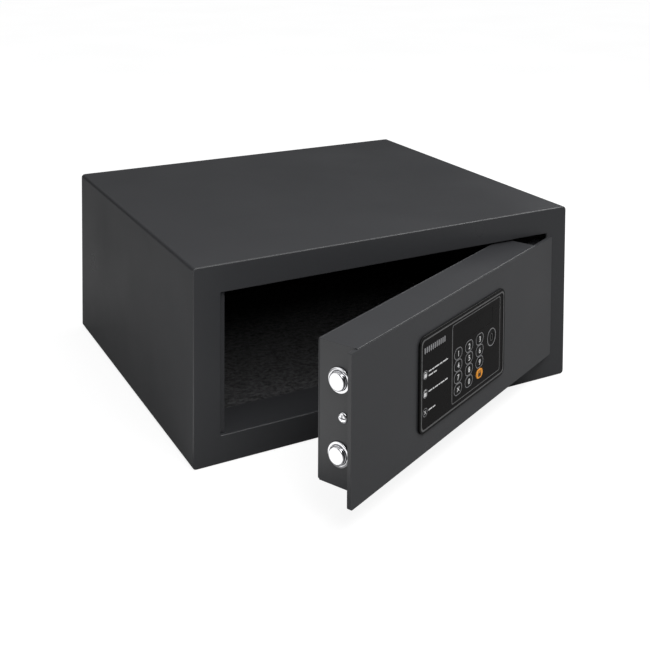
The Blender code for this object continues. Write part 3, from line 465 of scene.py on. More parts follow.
def add_softening(piece, radius, segments, angle, weld=False):
    if weld:
        piece.modifiers.new("weld", "WELD").merge_threshold = 0.00002
    bevel = piece.modifiers.new("soft_edges", "BEVEL")
    bevel.width = radius * MM
    bevel.segments = segments
    bevel.limit_method = "ANGLE"
    bevel.angle_limit = math.radians(angle)
    weigh_normals(piece)


def block_mesh(name, low, high):
    shape = bmesh.new()
    bmesh.ops.create_cube(shape, size=1.0)
    low, high = Vector(low), Vector(high)
    bmesh.ops.scale(shape, vec=(high - low) * MM, verts=shape.verts)
    bmesh.ops.translate(shape, vec=(high + low) / 2 * MM, verts=shape.verts)
    return mesh_from_shape(name, shape)


def along(axis, seat):
    """Placement that points a piece's own Z axis along an axis, at a seat in millimetres."""
    turn = Vector(axis).to_track_quat("Z", "Y").to_matrix().to_4x4()
    return Matrix.Translation(Vector(seat) * MM) @ turn


def rod_mesh(name, centre, axis, radius, length, sides=64):
    shape = bmesh.new()
    bmesh.ops.create_cone(shape, cap_ends=True, segments=sides, radius1=radius * MM,
                          radius2=radius * MM, depth=length * MM)
    bmesh.ops.transform(shape, matrix=along(axis, centre), verts=shape.verts)
    return mesh_from_shape(name, shape)


def turned_mesh(name, profile, sides, ring=False):
    """Turned piece about its own Z axis. The profile lists (radius, height)."""
    turns = [2 * math.pi * index / sides for index in range(sides)]
    loops = [[Vector((radius * math.cos(t), radius * math.sin(t), height)) for t in turns]
             for radius, height in profile]
    return mesh_from_loops(name, loops, ring)


def fillet(start, end, centre, steps=6):
    """Points on the arc from start to end about centre, both ends included."""
    first = Vector(start) - Vector(centre)
    last = Vector(end) - Vector(centre)
    radius = first.length
    begin = math.atan2(first.y, first.x)
    turn = (math.atan2(last.y, last.x) - begin + math.pi) % (2 * math.pi) - math.pi
    turns = [begin + turn * index / steps for index in range(steps + 1)]
    return [(centre[0] + radius * math.cos(t), centre[1] + radius * math.sin(t)) for t in turns]


def curve_shape(curve):
    """The filled shape of a curve drawn on XY, with its doubled points merged."""
    shape = bmesh.new()
    shape.from_mesh(evaluated_mesh(temporary(curve), curve.name))
    bmesh.ops.remove_doubles(shape, verts=shape.verts, dist=MERGE_DISTANCE)
    return shape


def stand_up(shape, x, y, z):
    """Stand a shape drawn on XY upright, facing the front, at a place in millimetres."""
    stand = Matrix(((1, 0, 0, x * MM), (0, 0, -1, y * MM), (0, 1, 0, z * MM), (0, 0, 0, 1)))
    bmesh.ops.transform(shape, matrix=stand, verts=shape.verts)


def flat_mesh(name, outline, holes, back, front):
    """Flat outline with holes seen from the front, between two depths, with its rims filled."""
    curve = bpy.data.curves.new(name, "CURVE")
    curve.dimensions = "2D"
    curve.fill_mode = "BOTH"
    curve.extrude = abs(back - front) / 2 * MM
    for loop in (outline, *holes):
        spline = curve.splines.new("POLY")
        spline.points.add(len(loop) - 1)
        for point, (x, z) in zip(spline.points, loop):
            point.co = (x * MM, z * MM, 0.0, 1.0)
        spline.use_cyclic_u = True
    shape = curve_shape(curve)
    stand_up(shape, 0, (back + front) / 2, 0)
    return mesh_from_shape(name, shape)


def print_mesh(name, outline, face, holes=(), proud=PRINT_PROUD):
    """A print on a front face, sunk in a little so that it has no gap under it."""
    return flat_mesh(name, outline, holes, face + PRINT_SUNK, face - proud)


def coat(mesh, first, second, is_second):
    """One material on a mesh, and another on the faces whose centre in millimetres passes a test."""
    mesh.materials.clear()
    mesh.materials.append(first)
    mesh.materials.append(second)
    for face in mesh.polygons:
        face.material_index = int(is_second(face.center / MM))


def joined(name, meshes):
    """Several meshes as one."""
    shape = bmesh.new()
    for mesh in meshes:
        shape.from_mesh(mesh)
    return mesh_from_shape(name, shape)


# ---- body


def build_body():
    """Folded shell with rounded edges and a rolled lip round the door opening."""
    low, high = node_box("body_shell")
    side_edge = 3.8
    end_edge = 1.5
    wall = 2.0
    border = 26.7
    lip = 0.9
    mouth_corner = 0.8
    anchor_x, anchor_y, anchor_radius = 120, 40, 5.5

    near, far = low.y + end_edge, high.y - end_edge
    section = fillet((-end_edge, low.y), (0.0, near), (-end_edge, near), 6)
    section += fillet((0.0, far), (-end_edge, high.y), (-end_edge, far), 6)
    centre = ((low.x + high.x) / 2, (low.z + high.z) / 2)
    size = (high.x - low.x, high.z - low.z)
    shell = mesh_from_loops("safe_body", rounded_loops(section, centre, size, side_edge, 10))

    hollow = block_mesh("hollow", (low.x + wall, low.y + wall, low.z + wall),
                        (high.x - wall, high.y + 20, high.z - wall))
    _, sill = node_box("sill_channel")
    head, _ = node_box("head_channel")
    section = [(lip + 4, low.y - 4)]
    section += fillet((lip, low.y), (0.0, low.y + lip), (lip, low.y + lip), 6)
    section += [(0.0, low.y + wall + 3)]
    mouth_size = (2 * (-low.x - border), head.z - sill.z)
    mouth_loops = rounded_loops(section, (0, (head.z + sill.z) / 2), mouth_size, mouth_corner, 4)
    cutters = [hollow, mesh_from_loops("mouth", mouth_loops)]
    for side in (-1, 1):
        cutters.append(rod_mesh("anchor", (side * anchor_x, anchor_y, low.z), (0, 0, 1), anchor_radius, 12))
    mesh = combined(shell, cutters)
    # Painted shade: the faces inside the hollow get the near-black coat.
    paint_shade_inside(mesh, low, high, wall)
    add_piece("safe_body", mesh, ANTHRACITE, "body", on_door=False, node="body_shell")


def paint_shade_inside(mesh, low, high, wall):
    """Painted shade: near-black on the faces that line the hollow, where shade falls inside the body."""
    reach = wall - 0.2
    back_rim = 0.6

    def lines_hollow(centre):
        return (all(low[axis] + reach < centre[axis] for axis in range(3))
                and centre.x < high.x - reach and centre.z < high.z - reach
                and centre.y < high.y - back_rim)

    coat(mesh, ANTHRACITE, SHADE_BLACK, lines_hollow)


def build_carpet():
    """Needle-felt mat with an uneven top that drops at its rim."""
    low, high = node_box("carpet_mat")
    size = high - low
    step = 2.2
    sunk = 0.7
    lump_height = 0.35
    tuft_height = 0.45
    rim_drop = 1.2
    rim_width = 1.5
    shape = bmesh.new()
    bmesh.ops.create_grid(shape, x_segments=int(size.x / step), y_segments=int(size.y / step), size=0.5)
    for vertex in shape.verts:
        x = vertex.co.x * size.x
        y = vertex.co.y * size.y
        lump = math.sin(x * 0.9 + 2.1 * math.sin(y * 0.37)) * math.sin(y * 0.8 + 1.7 * math.sin(x * 0.43))
        tuft = random.uniform(-tuft_height, tuft_height)
        edge = min(size.x / 2 - abs(x), size.y / 2 - abs(y))
        drop = rim_drop * math.exp(-edge / rim_width)
        height = high.z - sunk + lump_height * lump + tuft - drop
        vertex.co = Vector((low.x + size.x / 2 + x, low.y + size.y / 2 + y, height)) * MM
    skin = bmesh.ops.extrude_face_region(shape, geom=shape.faces[:] + shape.edges[:] + shape.verts[:])
    for part in skin["geom"]:
        if isinstance(part, bmesh.types.BMVert):
            part.co.z = low.z * MM
    add_piece("floor_carpet", mesh_from_shape("floor_carpet", shape, angle=80), FELT, "body", on_door=False,
              node="carpet_mat")
    build_carpet_fibres(low, high)


def build_carpet_fibres(low, high):
    """Short bent fibres that stand out of the mat."""
    count = 9000
    margin = 2
    root_depth = 1.4
    half_width, reaches = (0.10, 0.18), (0.8, 2.2)
    bend_height, tip_height = (1.2, 2.1), (0.7, 2.6)
    fibres = bmesh.new()
    for _ in range(count):
        root = Vector((random.uniform(low.x + margin, high.x - margin),
                       random.uniform(low.y + margin, high.y - margin), high.z - root_depth))
        turn = random.uniform(0, 2 * math.pi)
        lean = Vector((math.cos(turn), math.sin(turn), 0.0))
        across = Vector((-lean.y, lean.x, 0.0)) * random.uniform(*half_width)
        reach = random.uniform(*reaches)
        middle = root + lean * reach * 0.5 + Vector((0, 0, random.uniform(*bend_height)))
        tip = root + lean * reach + Vector((0, 0, random.uniform(*tip_height)))
        corners = [fibres.verts.new(point * MM) for point in
                   (root - across, root + across, middle + across * 0.8, middle - across * 0.8, tip)]
        fibres.faces.new(corners[:4])
        fibres.faces.new((corners[3], corners[2], corners[4]))
    mesh = bpy.data.meshes.new("carpet_fibres")
    fibres.to_mesh(mesh)
    fibres.free()
    add_piece("carpet_fibres", mesh, FELT, "body", on_door=False)


# ---- door steelwork

COVER_SCREWS = range(1, 5)


def edge_seat(low, high):
    """Middle of a piece's face at the door's free edge."""
    return low.x, (low.y + high.y) / 2, (low.z + high.z) / 2


def shut_middle(node):
    low, high = shut_box(node)
    return (low + high) / 2


def build_door_plate():
    """Front plate, tightly folded at its top corners and rounder at the bottom ones."""
    low, high = shut_box("door_plate")
    centre, size = front_place("door_plate")
    panel_centre, panel_size = front_place("keypad_housing")
    window_size = (panel_size[0] - 3.6, panel_size[1] - 3.9)
    window_corner, top_corner, low_corner = 3.3, 1.0, 2.8
    window = rounded_outline(panel_centre, window_size, window_corner, 6)
    outline = rounded_outline(centre, size, top_corner, 8, low_corner)
    mesh = softened(flat_mesh("door_front", outline, [window], high.y, low.y), 0.6, 4, 60)
    add_piece("door_front", mesh, ANTHRACITE, "door", node="door_plate")


def box_outline(low, high, grow, corner):
    """Rounded outline of the door box seen from the front. Growth leaves its top edge in place."""
    left, right = low.x - grow, high.x + grow
    bottom, top = low.z - grow, high.z + min(grow, 0.0)
    return rounded_outline(((left + right) / 2, (bottom + top) / 2), (right - left, top - bottom), corner)


def build_door_box():
    """Pan on the back of the plate. Its sides and bottom flare into the plate with a filled corner, as a
    painted weld does, its top runs on over the plate's edge, and all four turn in at the back to a rim."""
    low, high = shut_box("door_box")
    plate_low, plate_high = shut_box("door_plate")
    flare = 1.8
    wall = 1.5
    rim = 10.0
    bend = 0.6
    edge = 0.35
    least_edge = 0.3
    chamfer = 0.8
    overlap = 0.2
    front = plate_high.y - overlap
    back = high.y + overlap
    section = fillet((flare, front), (0, front + flare), (flare, front + flare), 6)
    section += fillet((0, back - bend), (-bend, back), (-bend, back - bend), 5)
    section += [(-rim, back), (-rim, high.y - wall), (-wall - chamfer, high.y - wall),
                (-wall, high.y - wall - chamfer), (-wall, front)]
    loops = [front_loop(box_outline(low, high, grow, max(edge + grow, least_edge)), y)
             for grow, y in section]
    pan = mesh_from_loops("door_pan", loops, ring=True)

    cap_front = plate_low.y + 0.7
    cap_back = plate_high.y + 6.0
    cap_bend = 0.75
    cap_foot = plate_high.z - 1.2
    bend_centre = (cap_front + cap_bend, high.z - cap_bend)
    section = [(cap_front, cap_foot)]
    section += fillet((cap_front, bend_centre[1]), (bend_centre[0], high.z), bend_centre, 5)
    section += [(cap_back, high.z), (cap_back, high.z - wall), (front, cap_foot)]
    cap = mesh_from_loops("pan_top_cap", [[Vector((x, y, z)) for y, z in section]
                                          for x in (low.x + edge, high.x - edge)])
    ring_hole, screw_hole, rim_hole = 9.8, 2.4, 1.8
    cutters = []
    for node, radius in (("bolt_ring_upper", ring_hole), ("bolt_ring_lower", ring_hole),
                         ("edge_screw", screw_hole)):
        middle = shut_middle(node)
        cutters.append(rod_mesh("side_hole", (low.x, middle.y, middle.z), (1, 0, 0), radius, 9))
    for number in COVER_SCREWS:
        middle = shut_middle(f"rear_cover_screw_{number}")
        cutters.append(rod_mesh("rim_hole", (middle.x, high.y, middle.z), FRONT_TO_BACK, rim_hole, 8, 24))
    mesh = combined(combined(pan, [cap], "UNION"), cutters)
    add_piece("door_pan", mesh, ANTHRACITE, "door", node="door_box")


def build_bolt(name):
    """Round bolt with a rounded nose, in chrome."""
    low, high = shut_box(f"bolt_{name}")
    radius = (high.z - low.z) / 2
    length = high.x - low.x
    nose = 1.4
    chamfer = 0.4
    profile = [(AXIS_GAP, 0.0), (radius - nose - 0.6, 0.0)]
    profile += fillet((radius - nose, 0.0), (radius, -nose), (radius - nose, -nose), 8)
    profile += [(radius, -length + chamfer), (radius - chamfer, -length), (AXIS_GAP, -length)]
    mesh = turned_mesh(f"chrome_bolt_{name}", profile, 96)
    end_radius = radius - nose - 0.3
    coat(mesh, CHROME, CHROME_FACE, lambda centre: centre.xy.length < end_radius and centre.z > -1.0)
    add_piece(f"chrome_bolt_{name}", mesh, CHROME, "bolt_work", along(TO_FREE_EDGE, edge_seat(low, high)),
              node=f"bolt_{name}")


def build_bolt_ring(name):
    """Guide ring pressed into the door's side: a flange that slopes away all round, and its sleeve."""
    low, high = shut_box(f"bolt_ring_{name}")
    bolt_low, bolt_high = shut_box(f"bolt_{name}")
    bore = (bolt_high.z - bolt_low.z) / 2 + 0.3
    radius = (high.z - low.z) / 2
    depth = high.x - low.x
    flange = 1.5
    sleeve = bore + 1.2
    bend = 0.6
    profile = fillet((bore, -0.5), (bore + 0.4, -0.1), (bore + 0.4, -0.5), 4)
    profile += [(bore + 0.6, 0.0), (bore + 0.9, -0.03)]
    profile += fillet((radius - bend, -0.2), (radius, -0.8), (radius - bend, -0.8), 6)
    profile += [(radius, -flange), (sleeve, -flange), (sleeve, -depth), (bore, -depth)]
    mesh = turned_mesh(f"chrome_ring_{name}", profile, 96, ring=True)
    add_piece(f"chrome_ring_{name}", mesh, CHROME, "door", along(TO_FREE_EDGE, edge_seat(low, high)),
              node=f"bolt_ring_{name}")


def cross_cutters(radius, top, deep):
    """Two tapered bars crossed on the Z axis, for a screw's recess."""
    bars = []
    for turn in (0, 90):
        crossed = Matrix.Rotation(math.radians(turn), 4, "Z")
        loops = []
        for share, height in ((1.0, top + 0.4), (1.0, top), (0.45, top - deep)):
            reach = radius * 0.62 * share
            half = 0.5 * (0.55 + 0.45 * share)
            corners = [(-reach, -half), (reach, -half), (reach, half), (-reach, half)]
            loops.append([crossed @ Vector((x, y, height)) for x, y in corners])
        bars.append(mesh_from_loops("recess", loops))
    return bars


def build_screw(name, node, axis):
    """Pan-head screw with a cross recess, at the place of a CAD screw."""
    low, high = shut_box(node)
    radius = (high.z - low.z) / 2
    if axis == TO_FREE_EDGE:
        seat = edge_seat(low, high)
        length = high.x - low.x
    else:
        seat = ((low.x + high.x) / 2, high.y, (low.z + high.z) / 2)
        length = high.y - low.y
    head = 0.36 * radius
    under_head = -head - 0.25
    shank = radius * 0.45
    profile = [(AXIS_GAP, 0.0), (radius * 0.55, -0.02 * radius)]
    profile += fillet((radius * 0.7, -0.06 * radius), (radius, -head),
                      (radius * 0.62, -head - 0.1 * radius), 8)
    profile += [(radius, under_head), (shank, under_head), (shank, -length + 0.6), (AXIS_GAP, -length)]
    mesh = combined(turned_mesh(name, profile, 64), cross_cutters(radius, 0.1, head * 0.9))

    # Painted shade: the cross recess is coloured near-black for the shade that falls in it.
    def in_recess(centre):
        return centre.xy.length < radius * 0.64 and -head - 0.2 < centre.z < -0.12 * radius

    coat(mesh, CHROME, SHADE_BLACK, in_recess)
    add_piece(name, mesh, CHROME, "door", along(axis, seat), node=node)


# ---- keypad


def build_bezel():
    """Moulded rim of the keypad in one piece with its tub, and the fine line printed on the rim."""
    low, high = shut_box("keypad_housing")
    plate_front = shut_box("door_plate")[0].y
    centre, size = front_place("keypad_housing")
    _, sheet_size = front_place("keypad_overlay")
    corner = 8.0
    least_corner = 1.2
    front = low.y
    rim = (size[0] - sheet_size[0]) / 2 - 0.3
    seat = plate_front - 0.3
    ledge = rim + 2.9
    tub = 2.25
    outer, inner = 0.8, 0.5
    section = [(0.0, seat)]
    section += fillet((0.0, front + outer), (-outer, front), (-outer, front + outer), 5)
    section += fillet((inner - rim, front), (-rim, front + inner), (inner - rim, front + inner), 4)
    section += [(-rim, seat), (-ledge, seat), (-ledge, high.y), (-tub, high.y), (-tub, seat)]
    loops = rounded_loops(section, centre, size, corner, 10, least_corner)
    mesh = mesh_from_loops("keypad_bezel", loops, ring=True)
    add_piece("keypad_bezel", mesh, BEZEL_BLACK, "door", node="keypad_housing")
    inset = rim - 0.9
    add_line("bezel_line", centre, grown(size, -inset), 1.3, front, GREY_INK, corner - inset, 10)


KEY_SKIRT = 0.8
KEY_NAMES = ("1", "2", "3", "4", "5", "6", "7", "8", "9", "clear", "0", "lock")


def key_cap_place(name):
    """Centre and size of the part of a key that shows."""
    return front_place(f"key_{name}", KEY_SKIRT)


def build_overlay():
    """Glossy front sheet with holes for the keys, the display and the override lock."""
    low, high = shut_box("keypad_overlay")
    centre, size = front_place("keypad_overlay")
    slack = 0.3
    corner, window_corner = 3.0, 1.3
    holes = []
    for name in KEY_NAMES:
        key_centre, key_size = key_cap_place(name)
        holes.append(pill_outline(key_centre, grown(key_size, slack)))
    window_centre, window_size = front_place("display_window")
    holes.append(rounded_outline(window_centre, grown(window_size, 0.1), window_corner, 5))
    lock_centre, lock_size = front_place("override_housing")
    holes.append(circle_outline(lock_centre, lock_size[1] / 2 + slack, 64))
    outline = rounded_outline(centre, size, corner, 8)
    mesh = softened(flat_mesh("panel_sheet", outline, holes, high.y, low.y), 0.12, 2, 60)
    add_piece("panel_sheet", mesh, PANEL_BLACK, "door", node="keypad_overlay")


def build_key(name):
    """Key cap with a rounded rim and a slightly dished top, and the skirt that holds it in."""
    low, high = shut_box(f"key_{name}")
    centre, size = key_cap_place(name)
    front = low.y
    bend = 0.45
    skirt_front, skirt_back = high.y - 3.0, high.y - 1.8
    section = [(-size[1] / 2 + 0.8, front + 0.16), (-2.2, front + 0.12), (-1.0, front + 0.03)]
    section += fillet((-bend, front), (0.0, front + bend), (-bend, front + bend), 5)
    section += [(0.0, skirt_front), (KEY_SKIRT, skirt_front), (KEY_SKIRT, skirt_back), (0.0, skirt_back),
                (0.0, high.y)]
    loops = [front_loop(pill_outline(centre, grown(size, grow)), y) for grow, y in section]
    material = KEY_ORANGE if name == "lock" else KEY_BLACK
    add_piece(f"cap_{name}", mesh_from_loops(f"cap_{name}", loops), material, f"key_{name}",
              node=f"key_{name}")


def glyph_mesh(name, text, height, centre, face):
    """A digit as a thin print, seen from the front."""
    size_per_height = 1.38
    thickness = 0.04
    boldness = 0.09
    curve = bpy.data.curves.new(name, "FONT")
    curve.body = text
    curve.size = height * MM * size_per_height
    curve.align_x = curve.align_y = "CENTER"
    curve.offset = boldness * MM
    curve.extrude = thickness / 2 * MM
    shape = curve_shape(curve)
    xs = [vertex.co.x for vertex in shape.verts]
    ys = [vertex.co.y for vertex in shape.verts]
    shift = Vector(((min(xs) + max(xs)) / -2, (min(ys) + max(ys)) / -2, 0.0))
    bmesh.ops.translate(shape, vec=shift, verts=shape.verts)
    stand_up(shape, centre[0], face, centre[1])
    return mesh_from_shape(name, shape)


def add_line(name, centre, size, line, face, ink, corner=None, steps=8):
    """A line printed on the door round a pill, or round a rectangle with rounded corners."""
    edges = []
    for grow in (line / 2, -line / 2):
        extent = grown(size, grow)
        edges.append(rounded_outline(centre, extent, corner, steps) if corner
                     else pill_outline(centre, extent))
    add_piece(name, print_mesh(name, edges[0], face, [edges[1]]), ink, "door")


def padlock(centre, size, face, shackle_open):
    """Pictogram of a padlock: a body and a bent shackle."""
    x, z = centre
    outline = rounded_outline((x, z - size * 0.18), (size * 0.72, size * 0.56), size * 0.07, 4)
    body = print_mesh("padlock_body", outline, face)
    lift = size * 0.12 if shackle_open else 0.0
    outer = size * 0.27
    inner = size * 0.17
    top = z + size * 0.2 + lift
    foot = z + size * 0.04
    open_foot = top - size * 0.02 if shackle_open else foot
    outline = outline_arc((x, top), outer, 0, 180, 12)
    outline += [(x - outer, foot), (x - inner, foot)]
    outline += outline_arc((x, top), inner, 180, 0, 12)
    outline += [(x + inner, open_foot), (x + outer, open_foot)]
    return [body, print_mesh("padlock_shackle", outline, face)]


def cross_mark(centre, size, face):
    """Two crossed strokes."""
    half = size / 2
    stroke = size * 0.11
    arm = [(0, stroke), (half - stroke, half), (half, half - stroke)]
    outline = []
    for _ in range(4):
        outline += arm
        arm = [(up, -across) for across, up in arm]
    outline = [(centre[0] + across, centre[1] + up) for across, up in reversed(outline)]
    return print_mesh("cross_mark", outline, face)


def build_key_prints():
    """Marks on the caps and the grey rings printed round them."""
    sheet_front = shut_box("keypad_overlay")[0].y
    digit_height, cross_size, padlock_size = 5.3, 4.6, 7.2
    dish = 0.1
    ring_gap, ring_line = 0.7, 0.65
    for name in KEY_NAMES:
        centre, size = key_cap_place(name)
        face = shut_box(f"key_{name}")[0].y + dish
        ink = WHITE_INK
        if name.isdigit():
            piece = f"digit_{name}"
            mesh = glyph_mesh(piece, name, digit_height, centre, face)
        elif name == "clear":
            piece = "clear_cross"
            mesh = cross_mark(centre, cross_size, face)
        else:
            piece = "lock_pictogram"
            mesh = joined(piece, padlock(centre, padlock_size, face, False))
            ink = DARK_INK
        add_piece(piece, mesh, ink, f"key_{name}")
        if name != "lock":
            add_line(f"ring_{name}", centre, grown(size, ring_gap), ring_line, sheet_front, LINE_INK)


def build_panel_prints():
    """Printed frame round the keys, and the help panel at the left: pictograms beside plain bars."""
    low, high = shut_box("keypad_overlay")
    face = low.y

    def place(across, up):
        """A point of the sheet, as a share of its width and height."""
        return low.x + (high.x - low.x) * across, low.z + (high.z - low.z) * up

    left, bottom = place(0.3475, 0.048)
    right, top = place(0.962, 0.966)
    centre = ((left + right) / 2, (bottom + top) / 2)
    size = (right - left, top - bottom)
    line = 0.8
    add_line("key_frame", centre, size, line, face, GREY_INK, corner=2.2)
    bar = rounded_outline((left - 0.2, centre[1]), (1.3, size[1] - 6.0), 0.6, 4)
    add_piece("key_frame_bar", print_mesh("key_frame_bar", bar, face, proud=OVERPRINT_PROUD), GREY_INK,
              "door")
    lock_centre, lock_size = front_place("override_housing")
    ring_size = grown((lock_size[1], lock_size[1]), 0.65)
    add_line("ring_override", lock_centre, ring_size, line, face, LINE_INK)
    build_help_panel(place, face)


# Each row of the help panel: name, height up the sheet, and two lines of bars as (start, length).
HELP_ROWS = (
    ("closed", 0.609, ((0.0, 5.0), (5.8, 3.4), (10.0, 8.2), (19.0, 4.4), (24.2, 8.8)),
     ((0.0, 7.4), (8.2, 5.6))),
    ("open", 0.398, ((0.0, 6.2), (7.0, 3.0), (10.8, 5.4), (17.0, 2.6), (20.4, 7.0), (28.2, 5.0)), ()),
    ("clear", 0.188, ((0.0, 6.4), (7.2, 4.6)), ()),
)


def build_help_panel(place, face):
    """Three rows of a ringed pictogram and bars, and the row of upright marks above them."""
    cross_size, padlock_size = 3.6, 5.9
    ring_size, ring_line = 7.4, 0.4
    text_start = 5.6
    bar_height, bar_corner = 1.2, 0.5
    for name, up, first_line, second_line in HELP_ROWS:
        icon = place(0.036, up)
        shapes = ([cross_mark(icon, cross_size, face)] if name == "clear"
                  else padlock(icon, padlock_size, face, name == "open"))
        add_piece(f"help_icon_{name}", joined(f"help_icon_{name}", shapes), WHITE_INK, "door")
        add_line(f"help_ring_{name}", icon, (ring_size, ring_size), ring_line, face, LINE_INK)
        bars = []
        for level, words in ((1.3 if second_line else 0.0, first_line), (-2.6, second_line)):
            for start, length in words:
                middle = (icon[0] + text_start + start + length / 2, icon[1] + level)
                outline = rounded_outline(middle, (length, bar_height), bar_corner, 3)
                bars.append(print_mesh("bar", outline, face))
        add_piece(f"help_bars_{name}", joined(f"help_bars_{name}", bars), WHITE_INK, "door")

    marks = []
    for index in range(11):
        middle = place(0.030 + index * 0.0225, 0.878)
        marks.append(print_mesh("mark", turned_upright(pill_outline(middle, (5.6, 1.9), 8), middle), face))
    add_piece("sounder_marks", joined("sounder_marks", marks), LINE_INK, "door")


def build_override_lock():
    """Face of the override lock: a black ring, and a plug with a key slot and a printed oval."""
    low, high = shut_box("override_housing")
    plug_low, plug_high = shut_box("override_plug")
    centre, size = front_place("override_housing")
    radius = size[1] / 2
    plug_radius = (plug_high.z - plug_low.z) / 2
    bore = plug_radius + 0.3
    depth = high.y - low.y
    bore_bend, rim_bend, plug_bend = 0.5, 0.6, 0.4
    profile = fillet((bore, -bore_bend), (bore + bore_bend, 0.0), (bore + bore_bend, -bore_bend), 4)
    profile += fillet((radius - rim_bend, 0.0), (radius, -rim_bend), (radius - rim_bend, -rim_bend), 5)
    profile += [(radius, -depth), (bore, -depth)]
    add_piece("lock_ring", turned_mesh("lock_ring", profile, 72, ring=True), LOCK_BLACK, "door",
              along(BACK_TO_FRONT, (centre[0], low.y, centre[1])), node="override_housing")

    depth = plug_high.y - plug_low.y
    tail_radius, tail_length = 2.2, 3.5
    bend_start = plug_radius - plug_bend
    profile = [(AXIS_GAP, 0.0), (plug_radius - 0.7, 0.0)]
    profile += fillet((bend_start, 0.0), (plug_radius, -plug_bend), (bend_start, -plug_bend), 4)
    profile += [(plug_radius, -depth + tail_length), (tail_radius, -depth + tail_length),
                (tail_radius, -depth), (AXIS_GAP, -depth)]
    key_slot = block_mesh("key_slot", (-0.7, -2.9, -9.0), (0.7, 2.9, 2.0))
    mesh = combined(turned_mesh("lock_plug", profile, 64), [key_slot])
    add_piece("lock_plug", mesh, LOCK_BLACK, "override_key_plug",
              along(BACK_TO_FRONT, (centre[0], plug_low.y, centre[1])), node="override_plug")
    outer, inner = (turned_upright(pill_outline(centre, extent), centre)
                    for extent in ((7.4, 4.6), (6.5, 3.7)))
    mesh = print_mesh("key_slot_mark", outer, plug_low.y, [inner])
    add_piece("key_slot_mark", mesh, GREY_INK, "override_key_plug")


# ---- CAD nodes that stay

# Material, edge radius, and the nodes that have them.
KEPT = (
    (ANTHRACITE, 0.4, ("back_panel", "hinge_arm_upper", "hinge_arm_lower")),
    (ANTHRACITE, 0.8, ("sill_channel",)),
    (ANTHRACITE, 0.5, ("strike_channel",)),
    (ANTHRACITE, 0.25, ("rear_cover",)),
    # Painted shade: the head channel, in the shade under the top of the opening, gets the near-black coat.
    (SHADE_BLACK, 0.8, ("head_channel",)),
    (ZINC, 0.4, ("hinge_bracket_upper", "hinge_bracket_lower")),
    (ZINC, 0.3, ("hinge_pin_upper", "hinge_pin_lower", "bolt_carriage")),
    (ZINC, 0.2, ("override_cam",)),
    (ZINC, 0.0, ("drive_rack", "guide_stud_upper", "guide_stud_lower")),
    (BRASS, 0.0, ("drive_pinion",)),
    (BLACK_PLASTIC, 0.35, ("battery_cover",)),
    (BLACK_PLASTIC, 0.3, ("battery_holder", "lcd_module", "gear_motor")),
    (BLACK_PLASTIC, 0.2, ("bolt_switch",)),
    (BLACK_PLASTIC, 0.0, ("motor_cable",)),
    (JACKET, 0.0, ("battery_cell_1", "battery_cell_2", "battery_cell_3", "battery_cell_4")),
    (PANEL_BLACK, 0.1, ("display_window",)),
    (BOARD, 0.0, ("circuit_board",)),
    (SILICONE, 0.2, ("dome_sheet",)),
)


def dress_kept_nodes():
    """Materials, and soft edges where the real sheet or moulding has them."""
    for material, radius, nodes in KEPT:
        for node in nodes:
            piece = frame["nodes"][node]
            piece.data.materials.clear()
            piece.data.materials.append(material)
            smooth_shaded(piece.data)
            if radius:
                add_softening(piece, radius, 3, 50.0, weld=True)


# ---- studio

# Name, place, target, size, power, and the share that lights matt surfaces.
LIGHTS = (
    ("front_softbox", (-0.15, -0.85, 0.75), (0.0, -0.2, 0.1), (0.5, 0.5), 3.7, 1.0),
    ("left_softbox", (-0.8, -0.13, 0.18), (-0.15, -0.2, 0.1), (0.5, 0.5), 0.8, 1.0),
    ("bolt_card", (-0.43, -0.29, 0.003), (-0.43, -0.29, 1.0), (0.38, 0.22), 0.26, 0.0),
    ("edge_card", (0.75, -0.6, 1.4), (0.0, -0.19, 0.19), (1.6, 0.4), 8.0, 0.0),
    ("door_edge_card", (1.23, 0.06, 0.98), (0.02, -0.28, 0.16), (1.2, 0.4), 6.0, 0.0),
)

# Wide lights of the room: the direction of each one, how narrow it is, and how bright.
SKY = (
    ((0.0, 0.0, 1.0), 2.0, 0.88),
    ((0.46, -0.31, 0.83), 60.0, 1.0),
)
SKY_BASE = 0.01
FLOOR_REACH = 30.0
FLOOR_GAP = 0.0005


def add_area_light(name, place, target, size, power, diffuse):
    """Soft rectangular light. One with no diffuse share is seen in reflections only."""
    light = bpy.data.lights.new(name, "AREA")
    light.shape = "RECTANGLE"
    light.energy = power
    light.size, light.size_y = size
    light.diffuse_factor = diffuse
    lamp = new_object(name, light)
    lamp.location = place
    lamp.rotation_euler = (Vector(target) - Vector(place)).to_track_quat("-Z", "Y").to_euler()
    lamp.visible_camera = False


def build_studio():
    shape = bmesh.new()
    bmesh.ops.create_grid(shape, x_segments=1, y_segments=1, size=FLOOR_REACH)
    floor = new_object("studio_floor", mesh_from_shape("studio_floor", shape))
    floor.data.materials.append(studio_floor("studio_floor"))
    floor.location = (0, 0, -FLOOR_GAP)
    build_world()
    for light in LIGHTS:
        add_area_light(*light)


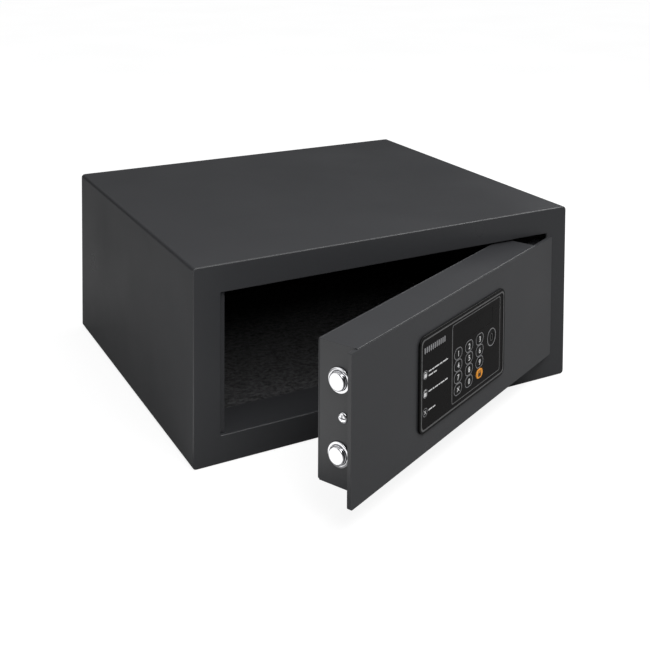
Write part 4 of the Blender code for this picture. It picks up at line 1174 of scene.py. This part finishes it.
def build_world():
    """White to the camera. To the safe it is a dim room with a few wide, soft lights."""
    world = bpy.data.worlds.new("studio")
    world.use_nodes = True
    tree = world.node_tree

    def math_node(operation, first, second):
        node = tree.nodes.new("ShaderNodeMath")
        node.operation = operation
        for socket, value in zip(node.inputs, (first, second)):
            if isinstance(value, float):
                socket.default_value = value
            else:
                tree.links.new(value, socket)
        return node.outputs[0]

    place = tree.nodes.new("ShaderNodeTexCoord").outputs["Generated"]
    total = SKY_BASE
    for direction, narrow, power in SKY:
        facing = tree.nodes.new("ShaderNodeVectorMath")
        facing.operation = "DOT_PRODUCT"
        tree.links.new(place, facing.inputs[0])
        facing.inputs[1].default_value = Vector(direction).normalized()
        towards = math_node("MAXIMUM", facing.outputs["Value"], 0.0)
        lobe = math_node("POWER", towards, narrow)
        total = math_node("ADD", math_node("MULTIPLY", lobe, power), total)
    room = tree.nodes["Background"]
    tree.links.new(total, room.inputs["Strength"])
    room.inputs["Color"].default_value = (0.985, 0.99, 1.0, 1.0)
    backdrop = tree.nodes.new("ShaderNodeBackground")
    backdrop.inputs["Color"].default_value = (1.0, 1.0, 1.0, 1.0)
    path = tree.nodes.new("ShaderNodeLightPath")
    mix = tree.nodes.new("ShaderNodeMixShader")
    tree.links.new(path.outputs["Is Camera Ray"], mix.inputs["Fac"])
    tree.links.new(room.outputs["Background"], mix.inputs[1])
    tree.links.new(backdrop.outputs["Background"], mix.inputs[2])
    tree.links.new(mix.outputs["Shader"], tree.nodes["World Output"].inputs["Surface"])
    bpy.context.scene.world = world
    bpy.context.scene.view_settings.view_transform = "Standard"


CAMERA_PLACE = Vector((-0.54594, -1.07489, 0.50976))
CAMERA_RIGHT = Vector((0.87456, -0.48487, 0.00719))
CAMERA_UP = Vector((0.01800, 0.04728, 0.99872))
CAMERA_LENS = 58.787
CAMERA_SHIFT = (-0.04085, -0.56059)
SENSOR_WIDTH = 36.0
SAME_PLACE = 0.0005


def build_camera():
    """Camera at the photo's viewpoint. Its lens is shifted down, as an architectural lens is, which keeps
    upright edges parallel. The shift belongs to this viewpoint only, so it's driven by the camera's place
    and goes away when the camera moves."""
    data = bpy.data.cameras.new("photo_camera")
    data.sensor_width = SENSOR_WIDTH
    data.lens = CAMERA_LENS
    camera = new_object("photo_camera", data)
    back = CAMERA_RIGHT.cross(CAMERA_UP)
    turn = Matrix((CAMERA_RIGHT, CAMERA_UP, back)).transposed()
    camera.location = CAMERA_PLACE
    camera.rotation_euler = turn.to_euler()
    bpy.context.scene.camera = camera
    for key, shift in zip(("shift_x", "shift_y"), CAMERA_SHIFT):
        driver = data.driver_add(key).driver
        driver.type = "SCRIPTED"
        place = driver.variables.new()
        place.name = "x"
        place.type = "TRANSFORMS"
        place.targets[0].id = camera
        place.targets[0].transform_type = "LOC_X"
        place.targets[0].transform_space = "WORLD_SPACE"
        driver.expression = f"{shift} if abs(x - {CAMERA_PLACE.x:.5f}) < {SAME_PLACE} else 0.0"


# ---- assembly

build_body()
build_carpet()
build_door_plate()
build_door_box()
for which in ("upper", "lower"):
    build_bolt(which)
    build_bolt_ring(which)
build_screw("edge_cross_screw", "edge_screw", TO_FREE_EDGE)
for number in COVER_SCREWS:
    build_screw(f"cover_screw_{number}", f"rear_cover_screw_{number}", FRONT_TO_BACK)
build_bezel()
build_overlay()
for key in KEY_NAMES:
    build_key(key)
build_key_prints()
build_panel_prints()
build_override_lock()
dress_kept_nodes()
build_studio()
build_camera()
